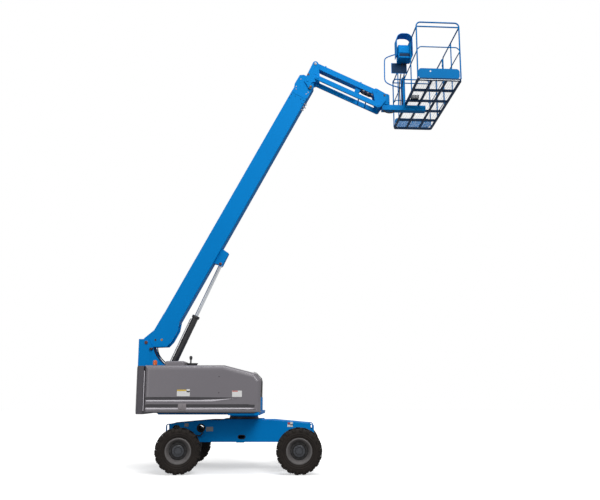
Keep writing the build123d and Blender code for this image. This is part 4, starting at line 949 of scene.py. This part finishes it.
loop_line = [
    (0.205, -0.410, 9.560), (0.060, -0.330, 9.552), (-0.046, -0.240, 9.535), (-0.050, -0.220, 9.440),
    (-0.052, -0.210, 9.120), (-0.050, -0.205, 8.975), (0.030, -0.190, 8.915), (0.180, -0.140, 8.885),
    (0.400, -0.062, 8.880), (0.424, -0.055, 8.880)]
settle(pipe("guard_tube", [on_deck(*p) for p in loop_line], 0.014), None, blue_paint, "platform")
console_hoses = [  # name, radius, line
    ("console_hose_1", 0.013, [
        (0.330, -0.440, 9.320), (0.325, -0.400, 9.180), (0.300, -0.330, 9.020), (0.290, -0.240, 8.860),
        (0.310, -0.160, 8.700), (0.330, -0.100, 8.560), (0.335, -0.085, 8.442)]),
    ("console_hose_2", 0.011, [
        (0.400, -0.440, 9.320), (0.400, -0.380, 9.160), (0.370, -0.290, 8.980), (0.360, -0.190, 8.800),
        (0.390, -0.110, 8.620), (0.395, -0.095, 8.442)])]
for name, radius, line in console_hoses:
    settle(pipe(name, [on_deck(*p) for p in line], radius), None, hose_rubber, "platform")

settle(slab("foot_switch", round_box(0.180, 0.130, 0.020), 0.070, 0.010, 3),
       deck_at(0.640, -0.300, FLOOR_TOP + 0.0045), black_plastic, "platform")
settle(slab("foot_switch_cover", round_box(0.200, 0.100, 0.018), 0.012, 0.004, 2),
       deck_at(0.640, -0.300, FLOOR_TOP + 0.074), zinc_pipe, "platform")

for side_name, sign in SIDES:
    boss = turned("kick_eye_" + side_name, [
        (0.008, 0.001), (0.008, 0.004), (0.018, 0.004), (0.020, 0.002), (0.020, 0.0), (0.008, 0.0),
        (0.008, 0.001)], 20)
    settle(boss, deck_at(0.760, sign * 1.2932, 8.665, z_dir=(0, sign, 0)), zinc_mesh, "platform")
    settle(slab("floor_edge_" + side_name, box_of(0.900, 0.012), 0.004, 0.001, 1),
           deck_at(DECK_MID, sign * 1.3255, 8.448, z_dir=(0, sign, 0)), zinc_mesh, "platform")
settle(slab("gate_latch", round_box(0.080, 0.040, 0.008), 0.018, 0.004, 2),
       deck_at(1.4560, 0.630, 9.715, (0, 1, 0), (1, 0, 0)), zinc_pipe, "platform")

support_loop = [
    (3.180, -0.060, 8.500), (3.200, -0.062, 8.440), (3.232, -0.066, 8.340), (3.290, -0.070, 8.262),
    (3.370, -0.070, 8.232), (3.450, -0.060, 8.236), (3.505, -0.045, 8.262), (3.520, -0.035, 8.309)]
free_hose("support_hose", [on_machine(*p) for p in support_loop], 0.014, "support")
bpy.data.objects.remove(bolt)
print("platform dressed")

# %% [markdown]
# ## Floor, light and camera
# The photograph is a cut-out on white, so the floor shows white to the camera and still catches a
# soft shadow. The lamps are large and even. The camera stands where the fitted sight lines of the
# machine meet: level with the covers, looking up along the boom.

# %% Stage
NEAR_LIFT, FAR_LIFT = 0.49, 0.82
FLOOR_BOUNCE = 0.19
SKY_LEVEL = 0.40
SEEN_FLOOR = 0.8
SHADE_FROM, SHADE_TO = 2.5, 9.0  # metres from the middle
bpy.ops.object.select_all(action="DESELECT")
bpy.ops.mesh.primitive_plane_add(size=120, location=(0, 0, -0.002))
floor = bpy.context.object
floor.name = "studio_floor"
floor_look = bpy.data.materials.new("White floor")
floor_look.use_nodes = True
tree = floor_look.node_tree
matte = tree.nodes["Principled BSDF"]
matte.inputs["Roughness"].default_value = 0.9
matte.inputs["Specular IOR Level"].default_value = 0.0
lift = node_in(tree, "Emission")
seen = node_in(tree, "LightPath")
shown = node_in(tree, "Math", operation="MAXIMUM")
level = node_in(tree, "Math", operation="MULTIPLY")
reach = node_in(tree, "VectorMath", operation="LENGTH")
spread_out = node_in(tree, "MapRange", {"From Min": SHADE_FROM, "From Max": SHADE_TO, "To Min": NEAR_LIFT,
                                        "To Max": FAR_LIFT})
where = node_in(tree, "TexCoord")
total = node_in(tree, "AddShader")
bounce = node_in(tree, "MapRange", {"To Min": FLOOR_BOUNCE, "To Max": SEEN_FLOOR})
wire_up(tree,
        (where.outputs["Object"], reach.inputs[0]),
        (reach.outputs["Value"], spread_out.inputs["Value"]),
        (spread_out.outputs["Result"], level.inputs[1]),
        (seen.outputs["Is Camera Ray"], bounce.inputs["Value"]),
        (bounce.outputs["Result"], matte.inputs["Base Color"]),
        (seen.outputs["Is Camera Ray"], shown.inputs[0]),
        (seen.outputs["Is Glossy Ray"], shown.inputs[1]),
        (shown.outputs[0], level.inputs[0]),
        (level.outputs[0], lift.inputs["Strength"]),
        (matte.outputs[0], total.inputs[0]),
        (lift.outputs[0], total.inputs[1]),
        (total.outputs[0], tree.nodes["Material Output"].inputs["Surface"]))
floor.data.materials.append(floor_look)

world = bpy.data.worlds.new("Studio")
bpy.context.scene.world = world
world.use_nodes = True
sky = world.node_tree
background = sky.nodes["Background"]
background.inputs["Color"].default_value = (1, 1, 1, 1)
background.inputs["Strength"].default_value = SKY_LEVEL
white = node_in(sky, "Background", {"Color": (1, 1, 1, 1), "Strength": 1.0})
path = node_in(sky, "LightPath")
either = node_in(sky, "Math", operation="MAXIMUM")
choose = node_in(sky, "MixShader")
wire_up(sky,
        (path.outputs["Is Camera Ray"], either.inputs[0]),
        (path.outputs["Is Transmission Ray"], either.inputs[1]),
        (either.outputs[0], choose.inputs[0]),
        (background.outputs[0], choose.inputs[1]),
        (white.outputs[0], choose.inputs[2]),
        (choose.outputs[0], sky.nodes["World Output"].inputs["Surface"]))

lamps = [  # name, place, aim, size, power
    ("key", (6, -15, 15), (-1, 0, 4), 9, 2150),
    ("fill", (-11, -14, 6), (-1, 0, 4), 9, 420),
    ("top", (-1, -2, 20), (-1, -1, 3), 9, 1100),
]
for name, spot_at, aim, size, power in lamps:
    bpy.ops.object.light_add(type="AREA", location=spot_at)
    lamp = bpy.context.object
    lamp.name = name
    lamp.data.size = size
    lamp.data.energy = power
    lamp.rotation_euler = (Vector(aim) - Vector(spot_at)).to_track_quat("-Z", "Y").to_euler()

CAMERA_AT = (MIDDLE + 1.2716, -14.4495, 1.5264)
CAMERA_UP = 0.1667  # radians above level
CAMERA_SENSOR, CAMERA_LENS, CAMERA_SHIFT, CAMERA_FAR = 36, 38.4545, 0.0667, 400
bpy.ops.object.camera_add(location=CAMERA_AT, rotation=(math.pi / 2 + CAMERA_UP, 0, 0))
camera = bpy.context.object
camera.data.sensor_width = CAMERA_SENSOR
camera.data.lens = CAMERA_LENS
camera.data.shift_y = CAMERA_SHIFT
camera.data.clip_end = CAMERA_FAR
bpy.context.scene.camera = camera
bpy.context.scene.view_settings.view_transform = "Standard"
print("camera:", tuple(round(c, 3) for c in camera.location))
